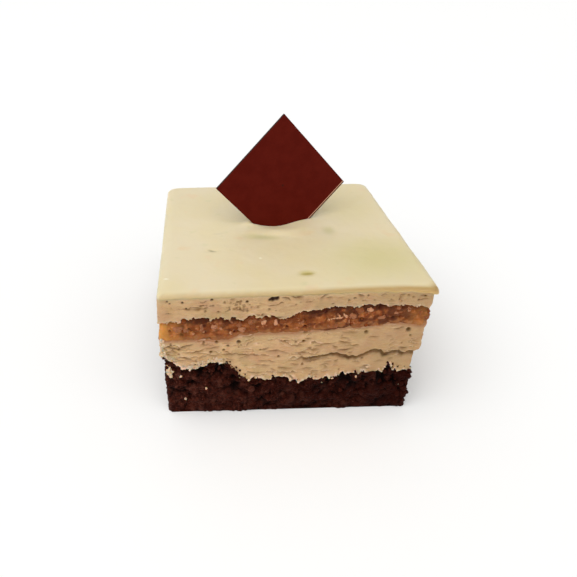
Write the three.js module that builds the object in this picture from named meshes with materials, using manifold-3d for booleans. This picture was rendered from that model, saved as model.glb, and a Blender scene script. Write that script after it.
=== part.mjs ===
// A square praline layer cake, cut 70 mm across: a brownie base, mousse, a praline layer with chopped
// nuts, more mousse and a pale glaze, with a thin chocolate plaque that stands on one corner in the top.
// Millimetres, +Z up. The origin is under the middle of the cake, and the front is towards -Y.
import * as THREE from 'three';
import { mergeVertices } from 'three/addons/utils/BufferGeometryUtils.js';
import Module from 'manifold-3d';

const wasm = await Module();
wasm.setup();

// ---- driving dimensions -------------------------------------------------------------------------

const CAKE_SIDE = 70;
const CAKE_HEIGHT = 40.4;
const CORNER_RADIUS = 1.5;
const TOUCH_GAP = 0.3;

// The knife leaned and the layers bulge a little, so the four upright edges have their own places in
// plan at the foot, where the layers bulge and at the head, as [height, corners]. The corners go front
// left, front right, back right, back left.
const UPRIGHT_EDGES = [
  [0, [[-34.6, -34.4], [33.6, -36.0], [33.8, 34.6], [-34.8, 33.6]]],
  [28, [[-35.1, -35.1], [34.9, -35.6], [34.3, 35.2], [-35.5, 33.9]]],
  [CAKE_HEIGHT, [[-34.5, -35.3], [35.3, -35.5], [34.2, 35.5], [-35.8, 33.9]]],
];

// Where two layers meet, read along the front from left to right as [x, z]. Round the other sides
// the line wanders by the given [height, length] waves, from the right end back to the left one.
const BROWNIE_TOP = {
  front: [[-34.4, 21.1], [-32, 19.2], [-29, 16.8], [-26.5, 17], [-22.5, 18.7], [-18.3, 18.8], [-16.4, 16.5],
    [-15, 14], [-12, 11.3], [-9, 13.3], [-4, 13], [0, 11.1], [3.5, 11.1], [5.5, 12], [7.5, 11.2], [13, 11.8],
    [15.5, 13.2], [17, 12.4], [18, 14.5], [19, 11.4], [21, 12.6], [24.5, 13.6], [27, 15.6], [30, 13], [34, 12.9]],
  waves: [[2.6, 11], [1.1, 4]],
};
const PRALINE_FOOT = {
  front: [[-34.7, 26.5], [-17, 26.2], [-14, 27.7], [0, 28], [14, 29], [24.5, 30.1], [30, 29.5], [34.4, 29.3]],
  waves: [[0.5, 12]],
};
const PRALINE_TOP = {
  front: [[-34.2, 32], [-29, 32.8], [-26.5, 33.3], [-21.7, 33.1], [-19.5, 34], [-17.8, 33], [-13.5, 32.3],
    [-11, 34], [-9.5, 33.2], [-4, 32.4], [-1, 33.3], [0.8, 34.5], [6, 34.8], [10, 35.6], [16, 35.5], [20, 36],
    [23.8, 35], [26, 36], [30, 35.1], [33.4, 34.6]],
  waves: [[0.6, 9], [0.5, 3]],
};
const GLAZE_FOOT = {
  front: [[-34, 39.3], [-19, 39.4], [0, 39.6], [12, 39.9], [29, 40], [33, 39.6], [35, 38.9]],
  waves: [[0.25, 10]],
};
const WAVE_FADE = 0.04;

// The crack along the lower mousse: its line along the front, and how far the mousse under it is set back.
const CRACK = {
  front: [[-34, 19.6], [1, 19], [4, 19.2], [10, 20.6], [17, 19.3], [22, 21.3], [25, 20], [33, 20.6]],
  waves: [[1.2, 14], [0.5, 5]],
};
const CRACK_SET_BACK = [[-35, 0], [0, 0], [6, 0.5], [20, 0.8], [35, 1.2]];
const CRACK_SET_BACK_ELSEWHERE = 0.8;
const CRACK_DEPTH = 0.9;
const CRACK_CLEARANCE = 1.6;

const BROWNIE_SET_BACK = 0.8;
const BROWNIE_CRUMBLE = 1.0;
const PRALINE_SET_BACK = 0.7;
const MOUSSE_RIPPLE = 0.22;
const GLAZE_LIP = [[-35, 0.15], [15, 0.15], [30, 0.5], [35, 0.9]];
const GLAZE_EDGE_RADIUS = 0.9;

// The top rises a little towards the front right corner, and dips where the plaque was pressed in.
const TOP_WAVE = { height: 0.12, length: 14 };
const TOP_RISE = { height: 0.7, x: 26, y: -34, reachX: 13, reachY: 13 };
const TOP_DIMPLE = { depth: 1.1, x: -0.3, y: 4.2, reachX: 4, reachY: 2.4 };

// The plaque's place is that of the middle of its front face.
const PLAQUE_SIDE = 28.8;
const PLAQUE_THICKNESS = 1.1;
const PLAQUE_BEVEL = 0.12;
const PLAQUE_PLACE = [0.7, 6.3, 51.5];
const PLAQUE_ROLL = THREE.MathUtils.degToRad(-2.7);
const PLAQUE_LEAN = THREE.MathUtils.degToRad(9.7);
const PLAQUE_TURN = THREE.MathUtils.degToRad(13.3);

// Pieces of nut that stand out of the praline, and crumbs that stand out of the brownie, on the front
// as [x, z, radius]. More of each are spread round the other sides.
const FRONT_NUTS = [[-8.5, 31.3, 1.0], [-5, 31, 0.9], [8.5, 32.5, 0.8], [10.8, 32.6, 0.8], [19, 34.1, 0.9],
  [-24, 30.4, 0.9], [-17, 29.8, 0.9], [1.5, 31, 0.8], [25.5, 33, 0.8]];
const FRONT_CRUMBS = [[-28.5, 13.5, 1.0], [-22, 15.5, 1.1], [-24.5, 5.2, 0.9], [-11, 8.5, 1.0], [2, 6.5, 0.9],
  [12, 9, 1.0], [21, 6, 0.9], [28, 10, 1.1], [32.2, 8.2, 0.9], [31.6, 4.6, 0.8]];
const SPREAD_NUTS = 18;
const SPREAD_CRUMBS = 12;

const POINTS_ON_FRONT = 38;
const POINTS_ON_OTHER_SIDES = 18;
const POINTS_IN_CORNER = 3;

// ---- small helpers ------------------------------------------------------------------------------

const half = CAKE_SIDE / 2;
const smooth = (t) => t * t * (3 - 2 * t);
const { lerp, clamp, seededRandom } = THREE.MathUtils;

/** Height of a broken line of [x, y] points at x, level beyond its ends. */
function alongLine(points, x) {
  const next = points.findIndex(([px]) => px > x);
  if (next === 0) return points[0][1];
  if (next < 0) return points[points.length - 1][1];
  const [x0, y0] = points[next - 1];
  const [x1, y1] = points[next];
  return lerp(y0, y1, (x - x0) / (x1 - x0));
}

/** One fixed number from -1 to 1 for each grid point. */
function gridNoise(i, j) {
  const wave = Math.sin(i * 127.1 + j * 311.7) * 43758.5453;
  return 2 * (wave - Math.floor(wave)) - 1;
}

/** Smooth noise from -1 to 1. */
function noise(u, v = 0) {
  const i = Math.floor(u);
  const j = Math.floor(v);
  const s = smooth(u - i);
  const t = smooth(v - j);
  const low = lerp(gridNoise(i, j), gridNoise(i + 1, j), s);
  const high = lerp(gridNoise(i, j + 1), gridNoise(i + 1, j + 1), s);
  return lerp(low, high, t);
}

// ---- the outline that every layer follows -------------------------------------------------------

/** Stations round the cake, anticlockwise from the front left corner. Each has its place (a, b) on a
    rounded square from -1 to 1, its outward direction, its run round the cake in mm, and how far it is
    on the way from the front right corner round the back to the front left one (under 0 on the front). */
function makeStations() {
  const radius = CORNER_RADIUS / half;
  const stations = [];
  for (let side = 0; side < 4; side++) {
    const turn = (side * Math.PI) / 2;
    const place = (along, out, angle) => {
      const a = along * Math.cos(turn) - out * Math.sin(turn);
      const b = along * Math.sin(turn) + out * Math.cos(turn);
      const normal = new THREE.Vector2(Math.cos(turn + angle), Math.sin(turn + angle));
      stations.push({ a, b, normal, side });
    };
    const steps = side === 0 ? POINTS_ON_FRONT : POINTS_ON_OTHER_SIDES;
    for (let step = 0; step <= steps; step++) {
      place(lerp(radius - 1, 1 - radius, step / steps), -1, -Math.PI / 2);
    }
    for (let step = 1; step <= POINTS_IN_CORNER; step++) {
      const angle = -Math.PI / 2 + ((Math.PI / 2) * step) / (POINTS_IN_CORNER + 1);
      place(1 - radius + radius * Math.cos(angle), radius - 1 + radius * Math.sin(angle), angle);
    }
  }
  let run = 0;
  stations.forEach((station, index) => {
    const before = stations[Math.max(index - 1, 0)];
    run += half * Math.hypot(station.a - before.a, station.b - before.b);
    station.run = run;
  });
  const onFront = (station) => station.side === 0 && station.normal.x < -station.normal.y;
  const frontEnd = stations.filter(onFront).pop().run;
  stations.forEach((station) => {
    station.back = onFront(station) ? -1 : (station.run - frontEnd) / (run - frontEnd);
  });
  return stations;
}

const stations = makeStations();

/** The plan place of (a, b) at height z, between the four upright edges. */
function planPlace(a, b, z) {
  const weights = [(1 - a) * (1 - b), (1 + a) * (1 - b), (1 + a) * (1 + b), (1 - a) * (1 + b)];
  const place = new THREE.Vector3(0, 0, z);
  weights.forEach((weight, corner) => {
    const edge = (axis) => UPRIGHT_EDGES.map(([height, corners]) => [height, corners[corner][axis]]);
    place.x += (weight / 4) * alongLine(edge(0), z);
    place.y += (weight / 4) * alongLine(edge(1), z);
  });
  return place;
}

/** A value given along the front, which passes from its right end to its left end round the other sides. */
function roundValue(front, station) {
  if (station.back < 0) return alongLine(front, station.a * half);
  return lerp(front[front.length - 1][1], front[0][1], smooth(station.back));
}

/** Height of a meeting line at a station. The waves fade in from both ends of the front. */
function lineHeight(line, station) {
  let height = roundValue(line.front, station);
  if (station.back < 0) return height;
  const fade = Math.min(1, station.back / WAVE_FADE, (1 - station.back) / WAVE_FADE);
  line.waves.forEach(([size, length], wave) => {
    height += fade * size * noise(station.run / length, 7 * wave + line.front.length);
  });
  return height;
}

const ringOf = (place) => stations.map(place);

/** A point of a wall: at a station, at height z, moved outwards by out. */
function wallPoint(station, z, out) {
  const point = planPlace(station.a, station.b, z);
  point.x += station.normal.x * out;
  point.y += station.normal.y * out;
  return point;
}

/** The rings of the surface where two layers meet, from the rim inwards. Both layers take them, one
    moved up and one moved down by half the gap, so that they stay parallel. */
function meetingRings(line, out, shift) {
  const level = stations.reduce((sum, station) => sum + lineHeight(line, station), 0) / stations.length;
  const ringAt = (share, calm, outward) => ringOf((station) => {
    const z = lerp(lineHeight(line, station), level, calm);
    const point = planPlace(station.a * share, station.b * share, z);
    point.x += station.normal.x * outward;
    point.y += station.normal.y * outward;
    point.z += shift;
    return point;
  });
  return [ringAt(1, 0, out), ringAt(0.9, 0.8, 0), [new THREE.Vector3(0, 0, level + shift)]];
}

/** Closed geometry over rings that run from the middle of the underside, out, up and back in. The faces
    between two rings are split the same way on the upper and lower side of a meeting surface. */
function skinOver(rings) {
  const positions = [];
  const starts = rings.map((ring) => {
    const start = positions.length / 3;
    ring.forEach((point) => positions.push(point.x, point.y, point.z));
    return start;
  });
  const indices = [];
  for (let row = 0; row + 1 < rings.length; row++) {
    const count = Math.max(rings[row].length, rings[row + 1].length);
    for (let k = 0; k < count; k++) {
      const corner = (ring, step) => starts[ring] + ((k + step) % count) % rings[ring].length;
      const [low, lowNext, high, highNext] = [corner(row, 0), corner(row, 1), corner(row + 1, 0), corner(row + 1, 1)];
      const opening = rings[row + 1].length > 1 && rings[row + 1][0].lengthSq() > rings[row][0].lengthSq();
      const [split, splitEnd] = opening ? [lowNext, high] : [low, highNext];
      if (low !== lowNext) indices.push(low, lowNext, splitEnd);
      if (high !== highNext) indices.push(split, highNext, high);
    }
  }
  const geometry = new THREE.BufferGeometry();
  geometry.setAttribute('position', new THREE.Float32BufferAttribute(positions, 3));
  geometry.setIndex(indices);
  return geometry;
}

// ---- solids, for joining and cutting ------------------------------------------------------------

function toSolid(geometry) {
  const bare = geometry.clone();
  bare.deleteAttribute('normal');
  bare.deleteAttribute('uv');
  const merged = mergeVertices(bare, 1e-4);
  return new wasm.Manifold(new wasm.Mesh({
    numProp: 3,
    vertProperties: Float32Array.from(merged.attributes.position.array),
    triVerts: Uint32Array.from(merged.index.array),
  }));
}

function toGeometry(solid) {
  const mesh = solid.getMesh();
  const geometry = new THREE.BufferGeometry();
  geometry.setAttribute('position', new THREE.BufferAttribute(mesh.vertProperties, 3));
  geometry.setIndex(new THREE.BufferAttribute(mesh.triVerts, 1));
  return geometry;
}

seededRandom(4177);
const random = (low, high) => lerp(low, high, seededRandom());

/** A rough lump of a few faces, turned at random. */
function lump(centre, radius) {
  const geometry = new THREE.IcosahedronGeometry(radius, 0);
  geometry.scale(random(1, 1.35), random(0.85, 1), random(0.7, 0.95));
  geometry.rotateX(random(-0.6, 0.6));
  geometry.rotateZ(random(0, Math.PI));
  geometry.translate(centre.x, centre.y, centre.z);
  return toSolid(geometry);
}

/** Adds lumps to a wall, the ones shown on the front first and then a spread round the other sides. */
function studded(solid, shown, spread, radii, lowLine, highLine, sink) {
  const frontStation = (x) => stations.reduce((best, station) => {
    if (station.back >= 0) return best;
    return Math.abs(station.a * half - x) < Math.abs(best.a * half - x) ? station : best;
  }, stations[0]);
  const others = stations.filter((station) => station.back > 0.01 && station.back < 0.99);
  let joined = solid;
  shown.forEach(([x, z, radius]) => {
    joined = joined.add(lump(wallPoint(frontStation(x), z, -sink), radius));
  });
  for (let count = 0; count < spread; count++) {
    const station = others[Math.floor(((count + random(0.1, 0.9)) / spread) * others.length)];
    const radius = random(...radii);
    const clear = 1.3 * radius + TOUCH_GAP;
    const z = lerp(lowLine(station) + clear, highLine(station) - clear, random(0, 1));
    joined = joined.add(lump(wallPoint(station, z, -sink), radius));
  }
  return joined;
}

// ---- the layers ---------------------------------------------------------------------------------

const lift = TOUCH_GAP / 2;
const brownieRim = -BROWNIE_SET_BACK;
const pralineRim = -PRALINE_SET_BACK;
const pralineFootRim = -0.2;
const glazeRim = -0.3;

/** Dark, crumbly brownie, flat underneath, set back a little under the mousse. */
function brownieSolid() {
  const crumble = (station, z) => BROWNIE_CRUMBLE
    * (0.6 * noise(station.run / 4.5, z / 4) + 0.4 * noise(station.run / 2 + 50, z / 2));
  const wallRing = (share) => ringOf((station) => {
    const z = share * (lineHeight(BROWNIE_TOP, station) - lift);
    return wallPoint(station, z, crumble(station, z) - 0.35);
  });
  const footRing = (out) => ringOf((station) => wallPoint(station, 0, out));
  const [rim, inner, middle] = meetingRings(BROWNIE_TOP, brownieRim, -lift);
  const body = skinOver([
    [new THREE.Vector3()], footRing(-0.4), ...[0.06, 0.25, 0.45, 0.65, 0.84].map(wallRing),
    rim, inner, middle,
  ]);
  const floorLine = () => 0.6;
  const topLine = (station) => lineHeight(BROWNIE_TOP, station);
  return studded(toSolid(body), FRONT_CRUMBS, SPREAD_CRUMBS, [0.8, 1.2], floorLine, topLine, 0.5);
}

/** Set mousse, cut with a knife that dragged it into shallow ripples. */
const ripple = (station, z) => MOUSSE_RIPPLE * noise(station.run / 9, z / 1.7);

/** How far the mousse under the crack is set back. Round the other sides the crack comes and goes. */
function setBack(station) {
  const given = roundValue(CRACK_SET_BACK, station);
  if (station.back < 0) return given;
  const patch = clamp(0.5 + noise(station.run / 16, 3), 0, 1);
  return given + CRACK_SET_BACK_ELSEWHERE * patch * Math.sin(Math.PI * station.back);
}

/** Mousse with a crack along it. Its lower edge bulges a little over the brownie. */
function lowerMousseSolid() {
  const foot = (station) => lineHeight(BROWNIE_TOP, station) + lift;
  const head = (station) => lineHeight(PRALINE_FOOT, station) - lift;
  const crack = (station) => clamp(
    lineHeight(CRACK, station),
    foot(station) + CRACK_CLEARANCE,
    head(station) - CRACK_CLEARANCE,
  );
  const open = (station) => clamp(setBack(station) * 2.5, 0, 1);
  const ringAt = (height, out) => ringOf((station) => {
    const z = height(station);
    return wallPoint(station, z, out(station) + ripple(station, z));
  });
  const below = (station) => -setBack(station);
  const [footRim, footInner, footMiddle] = meetingRings(BROWNIE_TOP, brownieRim, lift);
  const [headRim, headInner, headMiddle] = meetingRings(PRALINE_FOOT, pralineFootRim, -lift);
  return toSolid(skinOver([
    footMiddle, footInner, footRim,
    ringAt((station) => foot(station) + 0.3, (station) => 0.7 * below(station) + 0.2),
    ringAt((station) => lerp(foot(station), crack(station), 0.55), below),
    ringAt((station) => crack(station) - 0.45, below),
    ringAt((station) => crack(station) - 0.05, (station) => below(station) - CRACK_DEPTH * open(station)),
    ringAt((station) => crack(station) + 0.3, () => 0),
    ringAt((station) => lerp(crack(station), head(station), 0.6), () => 0),
    headRim, headInner, headMiddle,
  ]));
}

/** Praline with chopped nuts. Its upper edge is set back under the mousse above. */
function pralineSolid() {
  const foot = (station) => lineHeight(PRALINE_FOOT, station) + lift;
  const head = (station) => lineHeight(PRALINE_TOP, station) - lift;
  const ringAt = (share, out) => ringOf((station) => {
    const z = lerp(foot(station), head(station), share);
    return wallPoint(station, z, out + 0.3 * noise(station.run / 2.4, z / 2));
  });
  const [footRim, footInner, footMiddle] = meetingRings(PRALINE_FOOT, pralineFootRim, lift);
  const [headRim, headInner, headMiddle] = meetingRings(PRALINE_TOP, pralineRim, -lift);
  const body = skinOver([
    footMiddle, footInner, footRim, ringAt(0.3, -0.25), ringAt(0.6, -0.4), ringAt(0.85, -0.6),
    headRim, headInner, headMiddle,
  ]);
  return studded(toSolid(body), FRONT_NUTS, SPREAD_NUTS, [0.75, 1.05], foot, head, 0.4);
}

/** Mousse whose ragged lower edge hangs over the praline. */
function upperMousseSolid() {
  const foot = (station) => lineHeight(PRALINE_TOP, station) + lift;
  const head = (station) => lineHeight(GLAZE_FOOT, station) - lift;
  const ringAt = (share, rise, out) => ringOf((station) => {
    const z = lerp(foot(station), head(station), share) + rise;
    return wallPoint(station, z, out + ripple(station, z));
  });
  const [footRim, footInner, footMiddle] = meetingRings(PRALINE_TOP, pralineRim, lift);
  const [headRim, headInner, headMiddle] = meetingRings(GLAZE_FOOT, glazeRim, -lift);
  return toSolid(skinOver([
    footMiddle, footInner, footRim, ringAt(0, 0.25, -0.1), ringAt(0.35, 0, 0), ringAt(0.8, 0, -0.05),
    headRim, headInner, headMiddle,
  ]));
}

/** Height of the glaze's upper face at a plan place. */
function topHeight(x, y) {
  const bell = (spot) => Math.exp(-(((x - spot.x) / spot.reachX) ** 2 + ((y - spot.y) / spot.reachY) ** 2) / 2);
  const wave = TOP_WAVE.height * noise(x / TOP_WAVE.length, y / TOP_WAVE.length);
  return CAKE_HEIGHT + wave + TOP_RISE.height * bell(TOP_RISE) - TOP_DIMPLE.depth * bell(TOP_DIMPLE);
}

/** A thin poured glaze with a soft edge, which hangs a little over the front right corner. */
function glazeSolid() {
  const lip = (station) => roundValue(GLAZE_LIP, station);
  const edgeRing = (drop, inset) => ringOf((station) => {
    const point = wallPoint(station, CAKE_HEIGHT, lip(station) - inset);
    point.z = topHeight(point.x, point.y) - drop;
    return point;
  });
  const lipRing = ringOf((station) => {
    const z = lineHeight(GLAZE_FOOT, station) + lift + 0.1;
    return wallPoint(station, z, lip(station) - 0.1);
  });
  const edge = edgeRing(0, GLAZE_EDGE_RADIUS);
  const pole = new THREE.Vector3(TOP_DIMPLE.x, TOP_DIMPLE.y, 0);
  const faceRing = (share) => edge.map((rim) => {
    const point = pole.clone().lerp(rim, share);
    point.z = topHeight(point.x, point.y);
    return point;
  });
  pole.z = topHeight(pole.x, pole.y);
  const [footRim, footInner, footMiddle] = meetingRings(GLAZE_FOOT, glazeRim, lift);
  return toSolid(skinOver([
    footMiddle, footInner, footRim, lipRing,
    edgeRing(GLAZE_EDGE_RADIUS * 0.55, 0.05), edgeRing(GLAZE_EDGE_RADIUS * 0.15, GLAZE_EDGE_RADIUS * 0.4), edge,
    ...[0.8, 0.45, 0.26, 0.15].map(faceRing), [pole],
  ]));
}

// ---- the plaque ---------------------------------------------------------------------------------

/** A square slab on its corner, grown by a margin all round and put in its leaning place. Before it is
    put there, its front face looks along +Z. */
function plaqueGeometry(margin, bevel) {
  const reach = (PLAQUE_SIDE / 2 + margin - bevel) * Math.SQRT2;
  const corners = [[0, -reach], [reach, 0], [0, reach], [-reach, 0]];
  const outline = new THREE.Shape(corners.map(([x, y]) => new THREE.Vector2(x, y)));
  const depth = PLAQUE_THICKNESS + 2 * (margin - bevel);
  const geometry = new THREE.ExtrudeGeometry(outline, {
    depth,
    bevelEnabled: bevel > 0,
    bevelThickness: bevel,
    bevelSize: bevel,
    bevelSegments: 1,
  });
  geometry.translate(0, 0, -depth / 2 - PLAQUE_THICKNESS / 2);
  geometry.rotateZ(PLAQUE_ROLL);
  geometry.rotateX(Math.PI / 2 - PLAQUE_LEAN);
  geometry.rotateZ(PLAQUE_TURN);
  geometry.translate(...PLAQUE_PLACE);
  return geometry;
}

const plaqueSlot = toSolid(plaqueGeometry(TOUCH_GAP, 0));
const slotted = (solid) => toGeometry(solid.subtract(plaqueSlot));

// ---- the cake -----------------------------------------------------------------------------------

function piece(name, geometry, color, roughness) {
  const material = new THREE.MeshStandardMaterial({ color, roughness, metalness: 0 });
  const mesh = new THREE.Mesh(geometry, material);
  mesh.name = name;
  return mesh;
}

const cake = new THREE.Group();
cake.name = 'praline_cake_square';
cake.add(
  piece('brownie', toGeometry(brownieSolid()), 0x2f1612, 0.7),
  piece('lower_mousse', toGeometry(lowerMousseSolid()), 0xc9ab7e, 0.6),
  piece('praline', slotted(pralineSolid()), 0x9c5a35, 0.45),
  piece('upper_mousse', slotted(upperMousseSolid()), 0xc6a67a, 0.6),
  piece('glaze', slotted(glazeSolid()), 0xe2d6b0, 0.35),
  piece('plaque', toGeometry(toSolid(plaqueGeometry(0, PLAQUE_BEVEL))), 0x5c1812, 0.35),
);

export default cake;
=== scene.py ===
import itertools
import math

import bpy
import numpy as np
from mathutils import Matrix


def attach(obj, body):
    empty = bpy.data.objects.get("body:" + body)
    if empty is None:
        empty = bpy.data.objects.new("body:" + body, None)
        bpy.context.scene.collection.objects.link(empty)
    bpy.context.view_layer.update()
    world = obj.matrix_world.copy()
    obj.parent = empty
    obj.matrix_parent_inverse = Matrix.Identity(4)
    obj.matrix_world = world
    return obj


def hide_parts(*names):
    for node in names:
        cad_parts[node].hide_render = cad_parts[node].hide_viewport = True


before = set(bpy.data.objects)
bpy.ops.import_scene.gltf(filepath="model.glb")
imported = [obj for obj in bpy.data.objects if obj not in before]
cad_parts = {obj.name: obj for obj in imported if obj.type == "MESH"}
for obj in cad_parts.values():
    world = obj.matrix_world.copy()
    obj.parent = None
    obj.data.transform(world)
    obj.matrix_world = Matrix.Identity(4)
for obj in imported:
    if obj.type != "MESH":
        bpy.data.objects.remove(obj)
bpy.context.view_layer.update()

# ---- Brownie ------------------------------------------------------------------------------------
# The base of the cake: a dark, moist brownie, baked in a sheet and cut through with the other layers.
# The knife tore its sides into lumps and small caves, and loose crumbs stick to them. It is made as a
# wall of close rings round the cake, pushed in and out by crumb-sized cells.

MM = 0.001
CAKE_SIDE = 70.0
CAKE_HEIGHT = 40.4
CORNER_RADIUS = 1.5
HALF = CAKE_SIDE / 2

# The knife leaned, so the four upright edges have their own places in plan, as [height, corners] in
# mm. The corners go front left, front right, back right, back left.
UPRIGHT_EDGES = [
    [0, [[-34.6, -34.4], [33.6, -36.0], [33.8, 34.6], [-34.8, 33.6]]],
    [28, [[-35.1, -35.1], [34.9, -35.6], [34.3, 35.2], [-35.5, 33.9]]],
    [CAKE_HEIGHT, [[-34.5, -35.3], [35.3, -35.5], [34.2, 35.5], [-35.8, 33.9]]],
]

# Where two layers meet, along the front as [x, z] in mm. Round the other sides the line wanders by the
# [height, length] waves, and "torn" waves make it ragged all the way round.
BROWNIE_TOP = {
    "front": [[-34.4, 21.1], [-33.4, 20.3], [-32, 19.2], [-31.2, 18.4], [-29, 16.8], [-26.5, 16.9],
              [-24.9, 17.5], [-22.5, 18.7], [-18.3, 18.9], [-17, 17.6], [-16.2, 15.6], [-14.6, 13.8],
              [-12, 11.2], [-10.2, 12.8], [-8.8, 13.3], [-7.4, 12.7], [-4, 13], [-1.1, 12.3], [0, 11.1],
              [3.1, 11], [5.5, 12], [7.5, 11.2], [10.5, 12], [13, 11.8], [14.8, 13.2], [17, 12.4],
              [18, 13.8], [18.9, 12.2], [19.8, 12.9], [21.1, 12.6], [24.3, 13.6], [25.7, 13.1],
              [27, 15.6], [28.1, 14.5], [30, 13], [34, 12.9]],
    "waves": [[2.6, 11], [1.1, 4]],
    "torn": [[0.3, 1.3], [0.2, 0.55]], "seed": 25,
}
# The waves fade in over this share of the way round, and what runs along the sides fades out over
# this many mm at the front left corner, where the rings close.
WAVE_FADE = 0.04
SEAM_FADE = 3.0

FRONT_STEPS, SIDE_STEPS, CORNER_STEPS = 330, 210, 6


def grid_noise(i, j, k=0):
    """One fixed number from -1 to 1 for each grid point."""
    wave = np.sin(i * 127.1 + j * 311.7 + k * 74.7) * 43758.5453
    return 2 * (wave - np.floor(wave)) - 1


def smooth(t):
    return t * t * (3 - 2 * t)


def ramp(value, low, high):
    """0 below low, 1 above high, smooth between them."""
    return smooth(np.clip((value - low) / (high - low), 0, 1))


def noise(u, v=0.0, w=0.0):
    """Smooth noise from -1 to 1."""
    u, v, w = np.broadcast_arrays(u, v, w)
    i, j, k = np.floor(u), np.floor(v), np.floor(w)
    s, t, r = smooth(u - i), smooth(v - j), smooth(w - k)
    total = 0.0
    for di, dj, dk in itertools.product((0, 1), repeat=3):
        weight = (s if di else 1 - s) * (t if dj else 1 - t) * (r if dk else 1 - r)
        total = total + weight * grid_noise(i + di, j + dj, k + dk)
    return total


def noise_at(points, size, flat=1.0):
    """Noise at points, of a given size in mm, squeezed in height where flat is under 1."""
    return noise(points[..., 0] / size, points[..., 1] / size, points[..., 2] / (size * flat))


def grain(points, grains):
    """Relief of noise, as the sum of a list of [depth, size, flatness]."""
    return sum(depth * noise_at(points, size, flat) for depth, size, flat in grains)


# How far the middle of a round lump strays in its cell, and how far the lump reaches, in cells.
LUMP_STRAY, LUMP_REACH = 0.42, 0.9


def lumps(points, size):
    """Relief of round lumps packed close together: 1 on top of a lump, down to 0 in the creases."""
    scaled = points / size
    cell = np.floor(scaled)
    nearest = np.inf
    for step in itertools.product((-1, 0, 1), repeat=3):
        corner = cell + np.array(step)
        spots = np.stack([grid_noise(corner[..., 0] + 17 * axis, corner[..., 1], corner[..., 2])
                          for axis in range(3)], axis=-1)
        middle = corner + 0.5 + LUMP_STRAY * spots
        nearest = np.minimum(nearest, np.linalg.norm(scaled - middle, axis=-1))
    return np.sqrt(np.clip(1 - (nearest / LUMP_REACH) ** 2, 0, 1))


def round_the_cake():
    """Stations round the cake from the front left corner: their place (a, b) on a rounded square from
    -1 to 1, their outward direction, and whether they are on the front."""
    radius = CORNER_RADIUS / HALF
    places, headings, front = [], [], []
    for side in range(4):
        turn = side * math.pi / 2
        steps = FRONT_STEPS if side == 0 else SIDE_STEPS
        angles = -math.pi / 2 + (math.pi / 2) * np.arange(1, CORNER_STEPS + 1) / (CORNER_STEPS + 1)
        along = np.append(np.linspace(radius - 1, 1 - radius, steps + 1),
                          1 - radius + radius * np.cos(angles))
        out = np.append(np.full(steps + 1, -1.0), radius - 1 + radius * np.sin(angles))
        places.append(np.stack([along * math.cos(turn) - out * math.sin(turn),
                                along * math.sin(turn) + out * math.cos(turn)], axis=-1))
        heading = np.append(np.full(steps + 1, -math.pi / 2), angles)
        headings.append(heading + turn)
        front.append((side == 0) & (heading < -math.pi / 4))
    return np.concatenate(places), np.concatenate(headings), np.concatenate(front)


places, headings, on_front = round_the_cake()
round_a, round_b = places.T
outward = np.stack([np.cos(headings), np.sin(headings)], axis=-1)
steps_along = np.linalg.norm(np.diff(places, axis=0, prepend=places[:1]), axis=-1)
run = HALF * np.cumsum(steps_along)
girth = run[-1] + CORNER_RADIUS * math.pi / 2 / (CORNER_STEPS + 1)
front_end = run[on_front][-1]
back = np.where(on_front, -1, (run - front_end) / (run[-1] - front_end))
unrolled = run - (HALF - CORNER_RADIUS)
seam_fade = np.clip(np.minimum(run, girth - run) / SEAM_FADE, 0, 1)


def plan_place(a, b, z):
    """The point at (a, b) and height z, between the four upright edges."""
    heights = [height for height, corners in UPRIGHT_EDGES]
    weights = [(1 - a) * (1 - b) / 4, (1 + a) * (1 - b) / 4, (1 + a) * (1 + b) / 4, (1 - a) * (1 + b) / 4]
    x, y = (sum(weight * np.interp(z, heights, [corners[corner][axis] for _, corners in UPRIGHT_EDGES])
                for corner, weight in enumerate(weights)) for axis in (0, 1))
    return np.stack(np.broadcast_arrays(x, y, z), axis=-1)


def wall(z, out):
    """Points of a wall at heights z, moved outwards by out, for every station."""
    points = plan_place(round_a, round_b, z)
    points[..., :2] += outward * np.asarray(out)[..., None]
    return points


def round_value(front):
    """A value given along the front, which passes from its right end to its left one round the back."""
    xs, values = np.array(front, float).T
    return np.where(on_front, np.interp(round_a * HALF, xs, values),
                    values[-1] + (values[0] - values[-1]) * smooth(np.clip(back, 0, 1)))


def plan_noise(length, seed=0.0):
    """Noise of a length in mm at every station, by its place in plan."""
    return noise(round_a * HALF / length, round_b * HALF / length, seed)


def line_height(line):
    """Height of a meeting line at every station."""
    height = round_value(line["front"])
    fade = np.where(on_front, 0, np.clip(np.minimum(back, 1 - back) / WAVE_FADE, 0, 1))
    for wave, (size, length) in enumerate(line["waves"]):
        height = height + fade * size * noise(run / length, 7 * wave + line["seed"])
    for size, length in line.get("torn", []):
        height = height + size * plan_noise(length, line["seed"])
    return height


# The inner ring of a hidden face: its share of the way out, and how far it is levelled.
INNER_RING, INNER_LEVELLED = 0.85, 0.8


def meeting(height, rim_out, sag=0.0):
    """Rings of the hidden face where a layer meets the next one, from its rim inwards, and how far it
    sags in the middle."""
    rim = wall(height, np.full_like(height, rim_out))
    level = height + INNER_LEVELLED * (height.mean() - height) - sag
    return [rim, plan_place(INNER_RING * round_a, INNER_RING * round_b, level)]


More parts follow.
